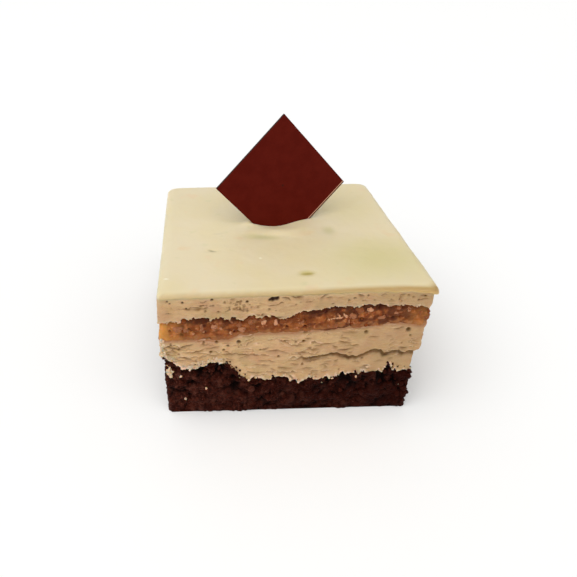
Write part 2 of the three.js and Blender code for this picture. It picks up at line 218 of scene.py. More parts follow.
def skin(name, rings, values):
    """A closed mesh over rings of points in mm, from the middle of its underside, out, up and back in.
    Each of the values is kept as an attribute, with a row for every ring, or for all but as many hidden
    ones at both ends, where it is 0."""
    rings = np.array(rings)
    rows, count, _ = rings.shape
    points = np.concatenate([rings.reshape(-1, 3), [rings[0].mean(axis=0)], [rings[-1].mean(axis=0)]])
    index = np.arange(rows * count).reshape(rows, count)
    ahead = np.roll(index, -1, axis=1)
    quads = np.stack([index[:-1], ahead[:-1], ahead[1:], index[1:]], axis=-1).reshape(-1, 4)
    low, high = rows * count, rows * count + 1
    under = [(low, int(b), int(a)) for a, b in zip(index[0], ahead[0])]
    over = [(high, int(a), int(b)) for a, b in zip(index[-1], ahead[-1])]
    mesh = bpy.data.meshes.new(name)
    mesh.from_pydata((points * MM).tolist(), [], quads.tolist() + under + over)
    mesh.polygons.foreach_set("use_smooth", np.ones(len(mesh.polygons), bool))
    for key, value in values.items():
        unseen = (rows - len(value)) // 2
        rows_of_value = np.pad(np.broadcast_to(value, (len(value), count)), ((unseen, unseen), (0, 0)))
        flat = np.append(rows_of_value, [0.0, 0.0])
        mesh.attributes.new(key, "FLOAT", "POINT").data.foreach_set("value", flat.astype(np.float32))
    piece = bpy.data.objects.new(name, mesh)
    bpy.context.scene.collection.objects.link(piece)
    return piece


def layer(name, foot, top, z, out, faces, values, sag=0.0):
    """A layer of the cake: its side at heights z, moved out by out, between the hidden faces under and
    over it. Each face is given as how far it lies over the foot or the top, and how far in its rim is."""
    (foot_lift, foot_in), (top_lift, top_in) = faces
    rings = [*meeting(foot + foot_lift, -foot_in)[::-1], *wall(z, out),
             *meeting(top + top_lift, -top_in, sag)]
    return skin(name, rings, values)


def add(tree, kind, inputs=None, **settings):
    """A node with its settings, and its inputs either linked to a socket or set to a value."""
    node = tree.nodes.new(kind)
    for key, value in settings.items():
        setattr(node, key, value)
    for key, value in (inputs or {}).items():
        if isinstance(value, bpy.types.NodeSocket):
            tree.links.new(value, node.inputs[key])
        else:
            node.inputs[key].default_value = value
    return node


def new_material(name, roughness, **settings):
    """A material, its node tree and its shader, with the shader's constant values set on its sockets."""
    material = bpy.data.materials.new(name)
    material.use_nodes = True
    shader = material.node_tree.nodes["Principled BSDF"]
    shader.inputs["Roughness"].default_value = roughness
    for key, value in settings.items():
        shader.inputs[key.replace("_", " ")].default_value = value
    return material, material.node_tree, shader


def object_place(tree, stretch=(1, 1, 1)):
    """Object coordinates in mm, stretched along each axis."""
    place = add(tree, "ShaderNodeTexCoord").outputs["Object"]
    scale = tuple(factor / MM for factor in stretch)
    return add(tree, "ShaderNodeMapping", {"Vector": place, "Scale": scale}).outputs["Vector"]


def speckle(tree, place, size, low, high, detail=2.0):
    """Noise of a size in mm, as a mask from 0 to 1 between its low and high values."""
    value = add(tree, "ShaderNodeTexNoise", {"Vector": place, "Scale": 1 / size, "Detail": detail})
    limits = {"Value": value.outputs["Fac"], "From Min": low, "From Max": high}
    return add(tree, "ShaderNodeMapRange", limits, interpolation_type="SMOOTHSTEP").outputs["Result"]


def mix(tree, factor, first, second):
    """The first colour turned into the second by a factor. Colours are linear red, green and blue."""
    colours = [value if isinstance(value, bpy.types.NodeSocket) else (*value, 1)
               for value in (first, second)]
    inputs = {0: factor, 6: colours[0], 7: colours[1]}
    return add(tree, "ShaderNodeMix", inputs, data_type="RGBA").outputs[2]


def with_specks(tree, place, colour, specks):
    """The colour with specks, given as [size, noise at their edge, noise in their middle, colour]."""
    for size, low, high, shade in specks:
        colour = mix(tree, speckle(tree, place, size, low, high), colour, shade)
    return colour


def attribute(tree, name):
    return add(tree, "ShaderNodeAttribute", attribute_name=name).outputs["Fac"]


def with_shades(tree, colour, shades):
    """The colour turned into the colour of each attribute, as far as the attribute says."""
    for name, shade in shades.items():
        colour = mix(tree, attribute(tree, name), colour, shade)
    return colour


def bump(tree, shader, height, depth):
    """Fine relief of a depth in mm on the shader's normal."""
    inputs = {"Height": height, "Distance": depth * MM, "Strength": 1.0}
    node = add(tree, "ShaderNodeBump", inputs)
    tree.links.new(node.outputs["Normal"], shader.inputs["Normal"])


BROWNIE_ROWS = 84
# The hidden faces under and over a layer: how far each lies over the foot or the top, and how far in
# its rim is.
BROWNIE_FACES = ((0, 0.9), (0.5, 2.2))
# The side goes up a little behind the mousse's foot, and its lowest ring is tucked in.
BROWNIE_RISE, BROWNIE_OUT, BROWNIE_TUCK = 0.3, -0.1, 0.5
# Lumps of three sizes make the crumb: [size, depth where the knife cut clean, depth where it tore]. It
# tore more and more between these two shares of the height.
CRUMB_LUMPS = [[3.2, 0.8, 1.6], [1.5, 0.9, 1.1], [0.75, 0.4, 0.45]]
TORN_SHARE = (0.25, 0.8)
CAVES = {"size": 3.1, "depth": 1.4, "noise": (0.05, 0.55), "share": (0.45, 0.8)}
# The sway of the whole side as [depth, length, height], and its finest grain.
BROWNIE_SWAY = [[0.5, 4.5, 4], [0.3, 2, 2]]
BROWNIE_GRAIN = [[0.08, 0.4, 1]]
# The crumb is painted paler on the left of the front than on its right, as painted light on the left,
# with faint patches of moister crumb.
CRUMB_SHADE_TO_RIGHT = [[-35, 0.0], [-18, 0.15], [0, 0.5], [35, 0.75]]
MOIST_PATCHES = [[0.15, 9, 1]]
# The depths between which the crumb is painted nearly black, as painted shade in its hollows.
HOLLOW_SHADE_DEPTH = (0.3, 1.4)
BROWNIE_COLOURS = ((0.0275, 0.0031, 0.001), (0.069, 0.0122, 0.0055))
BROWNIE_SPECKS = [[2.6, 0.52, 0.7, (0.105, 0.03, 0.018)], [0.4, 0.58, 0.74, (0.18, 0.06, 0.04)]]
# Colours the crumb turns to: darker where moist and towards the right of the front, partly painted shade, and
# nearly black in its hollows, as painted shade.
BROWNIE_SHADES = {"moisture_and_light": (0.019, 0.0013, 0.0), "hollow_shade": (0.004, 0.0006, 0.0003)}

brownie_top = line_height(BROWNIE_TOP)
share = np.linspace(0, 1, BROWNIE_ROWS)[:, None]
brownie_z = share * (brownie_top + BROWNIE_RISE)
place = wall(brownie_z, np.zeros_like(brownie_z))
torn = ramp(share, *TORN_SHARE)
cave = ramp(noise_at(place, CAVES["size"]), *CAVES["noise"]) * ramp(share, *CAVES["share"])
crumb_relief = -CAVES["depth"] * cave + sum((cut + (rip - cut) * torn) * (lumps(place, size) - 1)
                                            for size, cut, rip in CRUMB_LUMPS)
sway = seam_fade * sum(depth * noise(run / length + 50 * wave, brownie_z / height)
                       for wave, (depth, length, height) in enumerate(BROWNIE_SWAY))
brownie_out = BROWNIE_OUT + sway + crumb_relief + grain(place, BROWNIE_GRAIN)
brownie_out[0] = -BROWNIE_TUCK
moisture_and_light = round_value(CRUMB_SHADE_TO_RIGHT) + grain(place, MOIST_PATCHES)
brownie = layer("brownie_block", 0 * run, brownie_top, brownie_z, brownie_out, BROWNIE_FACES, {
    "hollow_shade": ramp(-crumb_relief, *HOLLOW_SHADE_DEPTH), "moisture_and_light": np.clip(moisture_and_light, 0, 1)})

brownie_crumb, tree, shader = new_material("moist_brownie_crumb", 0.5, Specular_IOR_Level=0.05)
place = object_place(tree)
colour = mix(tree, speckle(tree, place, 1.2, 0.38, 0.66), *BROWNIE_COLOURS)
colour = with_shades(tree, with_specks(tree, place, colour, BROWNIE_SPECKS), BROWNIE_SHADES)
tree.links.new(colour, shader.inputs["Base Color"])
bump(tree, shader, speckle(tree, place, 0.25, 0.2, 0.8, detail=4.0), 0.25)
brownie.data.materials.append(brownie_crumb)
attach(brownie, "root")
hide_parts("brownie")

# ---- Brownie crumbs -----------------------------------------------------------------------------
# Crumbs that the knife pulled loose and that stick to the side of the brownie, most of them near its
# torn upper edge. Each is a rough lump on a point of the wall, made by one tree of geometry nodes.

# The crumbs that show on the front, as [x, z, radius] in mm.
FRONT_CRUMBS = [[-28.5, 13.5, 1.0], [-22, 15.5, 1.1], [-24.5, 5.2, 0.9], [-11, 8.5, 1.0], [2, 6.5, 0.9],
                [12, 9, 1.0], [21, 6, 0.9], [28, 10, 1.1], [32.2, 8.2, 0.9], [31.6, 4.6, 0.8],
                [33.4, 11.6, 1.1], [34.2, 9.2, 0.9], [33.2, 6.6, 1.0], [34.6, 5.2, 0.8], [33.6, 2.6, 0.9],
                [34.0, 13.0, 0.8], [30.0, 12.2, 0.9]]
# The others: how they gather near the top, how much of the height stays free, and how much drier than
# the brownie they are.
LOOSE_CRUMBS = {"count": 620, "radius": (0.25, 0.8), "gather": (2.2, 1.1), "lowest": 0.8, "free": 1.4,
                "drier": 0.25, "least_moist": 0.2}
CRUMB_SHAPE = {"fineness": 2, "flatness": 0.6, "roughness": 1.1, "grain_size": 0.6, "seed": 3}
# Each lump is turned any way, by up to this angle, and stretched between these factors.
LUMP_TURN, LUMP_LEAST, LUMP_MOST = 6.3, (0.9, 0.75), (1.3, 1.1, 0.9)
draw = np.random.default_rng(4177)


def lump_tree(name):
    """Geometry nodes that put a rough lump on every point, as large as the point's own radius."""
    tree = bpy.data.node_groups.new(name, "GeometryNodeTree")
    sockets = {}
    for label, kind, direction in (
        ("Points", "NodeSocketGeometry", "INPUT"), ("Fineness", "NodeSocketInt", "INPUT"),
        ("Flatness", "NodeSocketFloat", "INPUT"), ("Roughness", "NodeSocketFloat", "INPUT"),
        ("Grain", "NodeSocketFloat", "INPUT"), ("Seed", "NodeSocketInt", "INPUT"),
        ("Material", "NodeSocketMaterial", "INPUT"), ("Lumps", "NodeSocketGeometry", "OUTPUT"),
    ):
        sockets[label] = tree.interface.new_socket(label, in_out=direction, socket_type=kind).identifier
    given = add(tree, "NodeGroupInput").outputs
    ball = add(tree, "GeometryNodeMeshIcoSphere", {"Radius": 1.0, "Subdivisions": given["Fineness"]})
    turn = add(tree, "FunctionNodeRandomValue", {0: (0, 0, 0), 1: (LUMP_TURN,) * 3, "Seed": given["Seed"]},
               data_type="FLOAT_VECTOR")
    narrow = add(tree, "ShaderNodeCombineXYZ", {"X": LUMP_LEAST[0], "Y": LUMP_LEAST[1],
                                                "Z": given["Flatness"]})
    squeeze = add(tree, "FunctionNodeRandomValue", {0: narrow.outputs[0], 1: LUMP_MOST,
                                                    "Seed": given["Seed"]}, data_type="FLOAT_VECTOR")
    radius = add(tree, "GeometryNodeInputNamedAttribute", {"Name": "radius"}, data_type="FLOAT")
    scale = add(tree, "ShaderNodeVectorMath", {0: squeeze.outputs[0]}, operation="SCALE")
    tree.links.new(radius.outputs["Attribute"], scale.inputs["Scale"])
    placed = add(tree, "GeometryNodeInstanceOnPoints", {
        "Points": given["Points"], "Instance": ball.outputs["Mesh"], "Rotation": turn.outputs[0],
        "Scale": scale.outputs[0]})
    real = add(tree, "GeometryNodeRealizeInstances", {"Geometry": placed.outputs[0]})
    grain = add(tree, "ShaderNodeTexNoise", {"Scale": given["Grain"], "Detail": 1.0,
                                             "Vector": add(tree, "GeometryNodeInputPosition").outputs[0]})
    centred = add(tree, "ShaderNodeMath", {0: grain.outputs["Fac"], 1: 0.5}, operation="SUBTRACT")
    depth = add(tree, "ShaderNodeMath", {0: centred.outputs[0], 1: given["Roughness"]}, operation="MULTIPLY")
    offset = add(tree, "ShaderNodeVectorMath", {0: add(tree, "GeometryNodeInputNormal").outputs[0],
                                                "Scale": depth.outputs[0]}, operation="SCALE")
    rough = add(tree, "GeometryNodeSetPosition", {"Geometry": real.outputs[0], "Offset": offset.outputs[0]})
    finished = add(tree, "GeometryNodeSetMaterial", {"Geometry": rough.outputs[0],
                                                     "Material": given["Material"]})
    add(tree, "NodeGroupOutput", {"Lumps": finished.outputs[0]})
    return tree, sockets


lump_nodes, lump_sockets = lump_tree("Rough lumps")


def lumps_on(name, centres, radii, shade, material, fineness, flatness, roughness, grain_size, seed):
    """Rough lumps on points in mm, turned into one plain mesh. The shade is the name of an attribute
    that the material reads, and its value for each lump."""
    mesh = bpy.data.meshes.new(name + "_points")
    mesh.from_pydata((np.array(centres) * MM).tolist(), [], [])
    for key, value in (("radius", np.array(radii) * MM), (shade[0], np.array(shade[1]))):
        mesh.attributes.new(key, "FLOAT", "POINT").data.foreach_set("value", value.astype(np.float32))
    holder = bpy.data.objects.new(name + "_points", mesh)
    bpy.context.scene.collection.objects.link(holder)
    modifier = holder.modifiers.new("Lumps", "NODES")
    modifier.node_group = lump_nodes
    inputs = {"Fineness": fineness, "Flatness": flatness, "Roughness": roughness * MM,
              "Grain": 1 / (grain_size * MM), "Seed": seed, "Material": material}
    for label, value in inputs.items():
        modifier[lump_sockets[label]] = value
    evaluated = holder.evaluated_get(bpy.context.evaluated_depsgraph_get())
    made = bpy.data.meshes.new_from_object(evaluated, preserve_all_data_layers=True,
                                           depsgraph=bpy.context.evaluated_depsgraph_get())
    made.name = name
    bpy.data.objects.remove(holder)
    piece = bpy.data.objects.new(name, made)
    bpy.context.scene.collection.objects.link(piece)
    return piece


def from_mark(x):
    """Distance of every station from a mark at x in mm along the unrolled side, 0 in the front's middle."""
    return (unrolled - x + girth / 2) % girth - girth / 2


def nearest_station(x):
    return int(np.argmin(np.abs(from_mark(x))))


def side_points(marks, rings, heights):
    """The wall points of a layer nearest to marks that begin with [x, z] along its unrolled side."""
    points = []
    for x, z, *_ in marks:
        station = nearest_station(x)
        row = int(np.argmin(np.abs(heights[:, station] - z)))
        points.append(rings[row, station])
    return np.array(points)


brownie_wall = wall(brownie_z, brownie_out)
loose_x = draw.uniform(-HALF, girth - HALF, LOOSE_CRUMBS["count"])
loose_share = draw.beta(*LOOSE_CRUMBS["gather"], LOOSE_CRUMBS["count"])
loose_z = [LOOSE_CRUMBS["lowest"] + (brownie_top[nearest_station(x)] - LOOSE_CRUMBS["free"]) * up
           for x, up in zip(loose_x, loose_share)]
small, large = LOOSE_CRUMBS["radius"]
loose_radii = small + (large - small) * draw.random(LOOSE_CRUMBS["count"]) ** 2
crumb_marks = [*FRONT_CRUMBS, *zip(loose_x, loose_z, loose_radii)]
# The loose crumbs take the moisture and painted light of the brownie under them, and are a little drier.
crumb_moisture_and_light = [np.clip(moisture_and_light[0, nearest_station(x)], LOOSE_CRUMBS["least_moist"], 1)
               - draw.uniform(0, LOOSE_CRUMBS["drier"]) for x, *_ in crumb_marks]
brownie_crumbs = lumps_on("brownie_crumbs", side_points(crumb_marks, brownie_wall, brownie_z),
                          [radius for *_, radius in crumb_marks], ("moisture_and_light", crumb_moisture_and_light), brownie_crumb,
                          **CRUMB_SHAPE)
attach(brownie_crumbs, "root")
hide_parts("brownie")

# ---- Lower mousse -------------------------------------------------------------------------------
# Pale coffee-coloured mousse, set on the brownie in a frame and cut when cold. The knife dragged the
# foam into flat ripples and short tears, its ragged foot hangs over the brownie, and a crack runs along
# its right half, under which the mousse has slipped back a little.

PRALINE_FOOT = {
    "front": [[-34.7, 26.5], [-17, 26.2], [-14.3, 27.7], [-6.5, 28.1], [0, 28], [3.8, 28.4], [9, 28.5],
              [14, 29], [19.4, 29.3], [22, 29.5], [24.5, 30.1], [27.2, 30.1], [30, 29.5], [32.7, 28.9],
              [34.4, 29.3]],
    "waves": [[0.5, 12]], "torn": [[0.12, 1.7]], "seed": 8,
}
CRACK = {
    "front": [[-34, 19.6], [1, 19], [2.5, 19.8], [3.9, 18.9], [8.7, 20], [10, 20.6], [13.9, 19.6],
              [16.6, 19.3], [19.3, 19.8], [21.8, 21.4], [23.8, 21], [24.7, 19.9], [28.8, 20.5],
              [30.2, 19.9], [33, 20.6]],
    "waves": [[1.2, 14], [0.5, 5]], "torn": [[0.28, 1.1], [0.2, 0.5]], "seed": 8,
}
# How far the mousse under the crack has slipped back, along the front, and at most on the other sides,
# where it did so in long patches. The crack is as deep as it gets from OPEN_FROM mm of slip.
CRACK_SET_BACK = [[-35, 0], [0, 0], [6, 0.5], [20, 0.8], [35, 1.2]]
CRACK_SET_BACK_ELSEWHERE, PATCH_LENGTH = 0.8, 16
CRACK_DEPTH, OPEN_FROM = 1.7, 0.4
CRACK_CLEARANCE = 1.6
CRACK_FADE = {"under": 0.5, "over": 0.14}
# The dark under the lip: its strength, and its distance and height, each with what the slip adds.
CRACK_SHADOW = {"shade": 0.8, "below": (0.3, 0.65), "height": (0.35, 0.5)}
# Marks under the lip of the crack, as [x, reach, distance below the lip, height, shade]: partly brown
# smudges where the knife dragged the crumb along, partly painted shade in the crack's dark stretches.
CRACK_SMUDGES_AND_SHADE = [[5.9, 2.2, 0.8, 0.28, 0.7], [5.2, 3.2, 0.4, 0.6, 0.4], [10.4, 1.8, 0.0, 0.3, 0.9],
                 [15.2, 2.4, 0.0, 0.35, 1.0], [25.7, 1.5, 0.2, 0.45, 1.0], [29.2, 1.6, 0.0, 0.3, 0.7]]
# How much of a mark under the crack is black, and how pale the painted highlights on the flakes' lips are.
SMUDGE_AND_SHADE_BLACK, LIP_HIGHLIGHT = 0.45, 0.45
MOUSSE_ROWS = 84
LOWER_FACES = ((0.25, 3.2), (0.2, 1.2))
# The knife's folds as [depth, length, height], and its fine streaks.
MOUSSE_FOLDS = [0.25, 7, 3]
MOUSSE_STREAKS = [[0.08, 2.6, 0.3], [0.05, 1.1, 0.5], [0.03, 0.45, 0.8]]
# The flat flakes: their height and depth, the waves in them, the patches where the foam is torn into
# them, and the share of a flake that is its lip.
FLAKE_HEIGHT, FLAKE_DEPTH = 1.2, 0.4
FLAKE_WAVES = [[1.2, 4.6, 0.5], [0.4, 1.3, 0.6]]
FLAKE_PATCHES = [[1, 2.9, 0.45]]
FLAKE_TORN = (0.0, 0.55)
FLAKE_LIP = 0.3
# The ragged foot: how far its tears hang down, their length and noise, its grain, how it is rounded and
# beaded, and the crumbs in it as [depth, size], which fade out upwards.
FOOT_HANG = {"depth": 0.8, "length": 1.1, "noise": (0.1, 0.8)}
FOOT_GRAIN = {"depth": 0.3, "length": 0.42}
FOOT_ROUND = {"depth": 0.4, "reach": 0.2}
FOOT_BEAD = {"depth": 0.25, "height": 0.4, "reach": 0.35}
FOOT_CRUMBLE = {"lumps": [[0.8, 1.1], [0.3, 0.5]], "reach": 1.0}
MOUSSE_LUMP_LEVEL = 0.8
# How much painted shade the mousse gets: everywhere, in its cuts, and under its flakes, between two
# shares of them.
LOWER_CUTS = {"all": 0, "cuts": 2.1, "flakes": 0.55, "under": (0.45, 1)}
# The caramel stains the mousse under it over about this height.
STAIN_REACH = 0.7
# Height of the pale torn rim at the foot, along the front.
RIM_HEIGHT = [[-34, 1.0], [-31, 1.6], [-26, 1.3], [-22, 0.9], [-18, 0.4], [-14, 0.6], [-12, 0.8], [-6, 0.5],
              [-1, 0.8], [5, 0.5], [12, 0.7], [18, 0.9], [22, 0.9], [27, 0.5], [34, 0.5]]
# How unevenly high it is, as [share, length, seed].
RIM_WAVES = [[0.5, 0.9, 9], [0.6, 3, 5]]

# Tears on the front, as [x, z, length, rise, depth] in mm, and pits as [x, z, radius].
FRONT_TEARS = [
    [-31.7, 24.0, 3.4, -0.7, 0.5], [-28.2, 24.7, 4.4, 1.6, 0.6], [-25.3, 22.9, 4.8, 1.5, 0.6],
    [-21.4, 24.0, 4.4, 0.6, 0.5], [-12.7, 21.3, 7.6, -1.0, 0.6], [-7.7, 23.0, 2.4, 1.0, 0.5],
    [-5.0, 22.4, 3.0, 0.0, 0.5], [-2.5, 25.4, 3.0, -0.1, 0.6], [3.7, 26.1, 2.0, 0.0, 0.45],
    [13.6, 24.5, 4.0, -1.1, 0.6], [16.4, 23.3, 2.6, 0.0, 0.5], [11.1, 23.1, 1.8, -0.7, 0.5],
    [29.6, 22.2, 2.8, -0.1, 0.5], [21.0, 26.0, 3.4, 0.3, 0.4], [-17.5, 18.9, 3.0, 0.4, 0.4],
    [-8.0, 17.4, 4.6, -0.3, 0.45], [2.0, 21.6, 3.6, 0.2, 0.45], [-24.0, 21.0, 3.2, 0.5, 0.4],
    [-1.0, 15.8, 3.4, 0.4, 0.4], [9.0, 16.4, 3.0, 0.3, 0.4], [6.5, 14.2, 2.6, 0.2, 0.4],
]
FRONT_PITS = [[-21.8, 22.3, 0.45], [2.5, 25.1, 0.4], [2.8, 28.0, 0.45], [-23.5, 25.5, 0.4],
              [-20.2, 25.6, 0.45], [-14.5, 25.4, 0.55], [18.8, 27.4, 0.5], [30.0, 27.8, 0.6]]
SPREAD_TEARS = {"count": 210, "length": (1.2, 5.5), "rise": 0.6, "depth": (0.2, 0.6)}
SPREAD_PITS = {"count": 130, "radius": (0.2, 0.4)}
# A tear's wander, how the cut fades out below, its sharp upper edge, and its lifted lip.
TEAR_WANDER = {"height": 0.22, "length": 0.8}
TEAR_FADE = {"reach": 0.42, "wander": 0.2, "length": 1.1}
TEAR_EDGE = 0.08
TEAR_LIP = {"share": 0.3, "over": 0.3, "reach": 0.25}
PIT_DEPTH = 1.1
# Spread marks stay this far from the lines where layers meet.
MARK_MARGIN = 1.0

MOUSSE_COLOURS = ((0.588, 0.382, 0.198), (0.665, 0.448, 0.242))
MOUSSE_SPECKS = [[6.0, 0.45, 0.7, (0.58, 0.348, 0.193)], [8.0, 0.5, 0.7, (0.53, 0.362, 0.177)],
                 [0.3, 0.66, 0.76, (0.36, 0.19, 0.085)]]
# The mousse is painted darker and browner towards the right, as painted shade away from the light on
# the left: from where, how much at the right edge, and the colour.
MOUSSE_RIGHT_SHADE = {"from": -0.3 * HALF, "share": 0.66, "colour": (0.43, 0.275, 0.133)}
# Colours the mousse turns to: a caramel stain, a pale rim that also carries the painted highlights on the
# flakes' lips, cream under the glaze, brown painted shade for cut, and near black for the specks and the
# crack's painted shade.
MOUSSE_SHADES = {"stain": (0.4, 0.2, 0.1), "rim": (0.86, 0.67, 0.52), "cream": (0.66, 0.5, 0.28),
                 "cut": (0.165, 0.08, 0.024), "speck_and_crack_shade": (0.05, 0.02, 0.008)}


def tears(z, marks):
    """Relief of short knife tears, each with a lifted upper lip, cut in sharply under it."""
    cut, lift = np.zeros_like(z), np.zeros_like(z)
    for x, height, length, rise, depth in marks:
        along = from_mark(x) / (length / 2)
        near = np.flatnonzero(np.abs(along) < 1)
        wander = TEAR_WANDER["height"] * noise(unrolled[near] / TEAR_WANDER["length"], height)
        under = height + rise * along[near] / 2 + wander - z[:, near]
        strength = depth * (1 - along[near] ** 2)
        fade = TEAR_FADE["wander"] * noise(unrolled[near] / TEAR_FADE["length"], height + 9)
        profile = np.where(under > 0, np.exp(-under / (TEAR_FADE["reach"] + fade)), np.exp(under / TEAR_EDGE))
        lip = np.exp(-((under + TEAR_LIP["over"]) / TEAR_LIP["reach"]) ** 2)
        cut[:, near] = np.minimum(cut[:, near], -strength * profile)
        lift[:, near] = np.maximum(lift[:, near], TEAR_LIP["share"] * strength * lip)
    return cut + lift


def pits(z, marks):
    """Relief of round pits left by air bubbles and by nut pieces that fell out."""
    relief = np.zeros_like(z)
    for x, height, radius in marks:
        near = np.flatnonzero(np.abs(from_mark(x)) < 2 * radius)
        apart = np.hypot(from_mark(x)[near], z[:, near] - height) / radius
        relief[:, near] = np.minimum(relief[:, near], -PIT_DEPTH * radius * np.exp(-apart ** 4))
    return relief


def spread(count, low, high, make):
    """Marks at random places round the cake, between two lines of height."""
    marks = []
    for x in draw.uniform(-HALF, girth - HALF, count):
        station = nearest_station(x)
        z = draw.uniform(low[station] + MARK_MARGIN, high[station] - MARK_MARGIN)
        marks.append([x, z, *make()])
    return marks


def spread_tears(low, high, count, length, rise, depth):
    return spread(count, low, high, lambda: [draw.uniform(*length), draw.normal(0, rise),
                                             draw.uniform(*depth)])


def spread_pits(low, high, count, radius):
    return spread(count, low, high, lambda: [draw.uniform(*radius)])


def lumpy(points, sizes, level):
    """Relief of lumps, from a list of [depth, size], which is 0 at a level of their height."""
    return sum(depth * (lumps(points, size) - level) for depth, size in sizes)


praline_foot = line_height(PRALINE_FOOT)
crack = np.clip(line_height(CRACK), brownie_top + CRACK_CLEARANCE, praline_foot - CRACK_CLEARANCE)
patch = np.clip(0.5 + noise(run / PATCH_LENGTH, 3), 0, 1)
elsewhere = np.where(on_front, 0, CRACK_SET_BACK_ELSEWHERE * patch * np.sin(math.pi * np.clip(back, 0, 1)))
set_back = round_value(CRACK_SET_BACK) + elsewhere
crack_cut = CRACK_DEPTH * np.clip(set_back / OPEN_FROM, 0, 1)


def mousse_relief(place):
    """Soft folds and fine streaks that the knife left in the mousse."""
    depth, length, height = MOUSSE_FOLDS
    return seam_fade * depth * noise(run / length, place[..., 2] / height) + grain(place, MOUSSE_STREAKS)


def flakes(place):
    """Patches of flat torn flakes, one over the other: 0 at a flake's lower lip, which stands proud, up
    to 1 where it goes in under the lip of the next flake. The second value is 1 along the lips."""
    layers = place[..., 2] / FLAKE_HEIGHT + grain(place, FLAKE_WAVES)
    torn = ramp(grain(place, FLAKE_PATCHES), *FLAKE_TORN)
    up_the_flake = layers - np.floor(layers)
    return up_the_flake * torn, (1 - ramp(up_the_flake, 0, FLAKE_LIP)) * torn


def cut_shade(relief, flaked, shade):
    """How much painted shade the mousse gets, from 0 to 1."""
    under_flakes = shade["flakes"] * ramp(flaked, *shade["under"])
    return np.clip(shade["all"] - shade["cuts"] * relief + under_flakes, 0, 1)


mousse_foot = (brownie_top - FOOT_HANG["depth"] * ramp(plan_noise(FOOT_HANG["length"]), *FOOT_HANG["noise"])
               - FOOT_GRAIN["depth"] * plan_noise(FOOT_GRAIN["length"]))
share = np.linspace(0, 1, MOUSSE_ROWS)[:, None]
lower_z = mousse_foot + share * (praline_foot - mousse_foot)
place = wall(lower_z, np.zeros_like(lower_z))
over_crack = lower_z - crack
slip = np.where(over_crack < 0, set_back + crack_cut * np.exp(over_crack / CRACK_FADE["under"]),
                (set_back + crack_cut) * np.exp(-over_crack / CRACK_FADE["over"]))
above_foot = lower_z - mousse_foot
foot_round = FOOT_ROUND["depth"] * np.exp(-above_foot / FOOT_ROUND["reach"])
foot_bead = FOOT_BEAD["depth"] * np.exp(-((above_foot - FOOT_BEAD["height"]) / FOOT_BEAD["reach"]) ** 2)
torn_mousse = tears(lower_z, FRONT_TEARS + spread_tears(brownie_top, praline_foot, **SPREAD_TEARS))
pitted_mousse = pits(lower_z, FRONT_PITS + spread_pits(brownie_top, praline_foot, **SPREAD_PITS))
flaked_mousse, flake_lip = flakes(place)
crumbly = (lumpy(place, FOOT_CRUMBLE["lumps"], MOUSSE_LUMP_LEVEL)
           * np.exp(-above_foot / FOOT_CRUMBLE["reach"]))
lower_out = (mousse_relief(place) - slip - foot_round + foot_bead + crumbly + torn_mousse + pitted_mousse
             - FLAKE_DEPTH * flaked_mousse)
under_lip = over_crack + CRACK_SHADOW["below"][0] + CRACK_SHADOW["below"][1] * set_back
shadow_height = CRACK_SHADOW["height"][0] + CRACK_SHADOW["height"][1] * set_back
crack_dark = CRACK_SHADOW["shade"] * np.clip(crack_cut, 0, 1) * np.exp(-(under_lip / shadow_height) ** 2)
smudges_and_crack_shade = np.zeros_like(lower_z)
for x, reach, below, height, shade in CRACK_SMUDGES_AND_SHADE:
    smudge_and_shade = np.exp(-((unrolled - x) / reach) ** 2 - ((under_lip + below) / height) ** 2)
    smudges_and_crack_shade = np.maximum(smudges_and_crack_shade, shade * smudge_and_shade)
cut_dark = cut_shade(torn_mousse + pitted_mousse, flaked_mousse, LOWER_CUTS)
rim_height = round_value(RIM_HEIGHT)
for strength, length, seed in RIM_WAVES:
    rim_height = rim_height * (1 + strength * noise(run / length, seed))

# The cut attribute is painted shade: in the tears and pits, under the flakes, and in and under the crack.
lower_mousse = layer("lower_mousse_slab", mousse_foot, praline_foot, lower_z, lower_out, LOWER_FACES, {
    "cut": np.maximum(np.maximum(cut_dark, crack_dark), smudges_and_crack_shade),
    "stain": np.exp(-((praline_foot - lower_z) / STAIN_REACH) ** 2),
    # The speck colour blackens the smudges and the crack's painted shade.
    "speck_and_crack_shade": SMUDGE_AND_SHADE_BLACK * smudges_and_crack_shade,
    # The rim is the pale torn rim at the foot, with painted highlights on the flakes' lips.
    "rim": np.maximum(np.exp(-(above_foot / rim_height) ** 2), LIP_HIGHLIGHT * flake_lip)})

mousse, tree, shader = new_material("coffee_mousse", 0.62, Subsurface_Weight=1.0, Subsurface_Scale=0.3 * MM,
                                    Subsurface_Radius=(1.0, 0.6, 0.35), Specular_IOR_Level=0.12)
flat_place = object_place(tree, (0.45, 0.45, 1))
place = object_place(tree)
colour = mix(tree, speckle(tree, flat_place, 0.9, 0.36, 0.64, detail=4), *MOUSSE_COLOURS)
colour = with_specks(tree, place, colour, MOUSSE_SPECKS)
rightwards = add(tree, "ShaderNodeMapRange", {
    "Value": add(tree, "ShaderNodeSeparateXYZ", {"Vector": place}).outputs["X"],
    "From Min": MOUSSE_RIGHT_SHADE["from"], "From Max": HALF, "To Max": MOUSSE_RIGHT_SHADE["share"]})
colour = mix(tree, rightwards.outputs["Result"], colour, MOUSSE_RIGHT_SHADE["colour"])
colour = with_shades(tree, colour, MOUSSE_SHADES)
tree.links.new(colour, shader.inputs["Base Color"])
bump(tree, shader, speckle(tree, flat_place, 0.35, 0.25, 0.75, detail=3.0), 0.22)
lower_mousse.data.materials.append(mousse)
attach(lower_mousse, "root")
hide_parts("lower_mousse")

# ---- Mousse smears ------------------------------------------------------------------------------
# Bits of mousse that the knife dragged down and left on the side of the brownie, and two small pale
# bits on the left of the front that stand in for glints on the moist crumb, as painted highlights. They
# are flat lumps, the largest of them at the left end of the front.

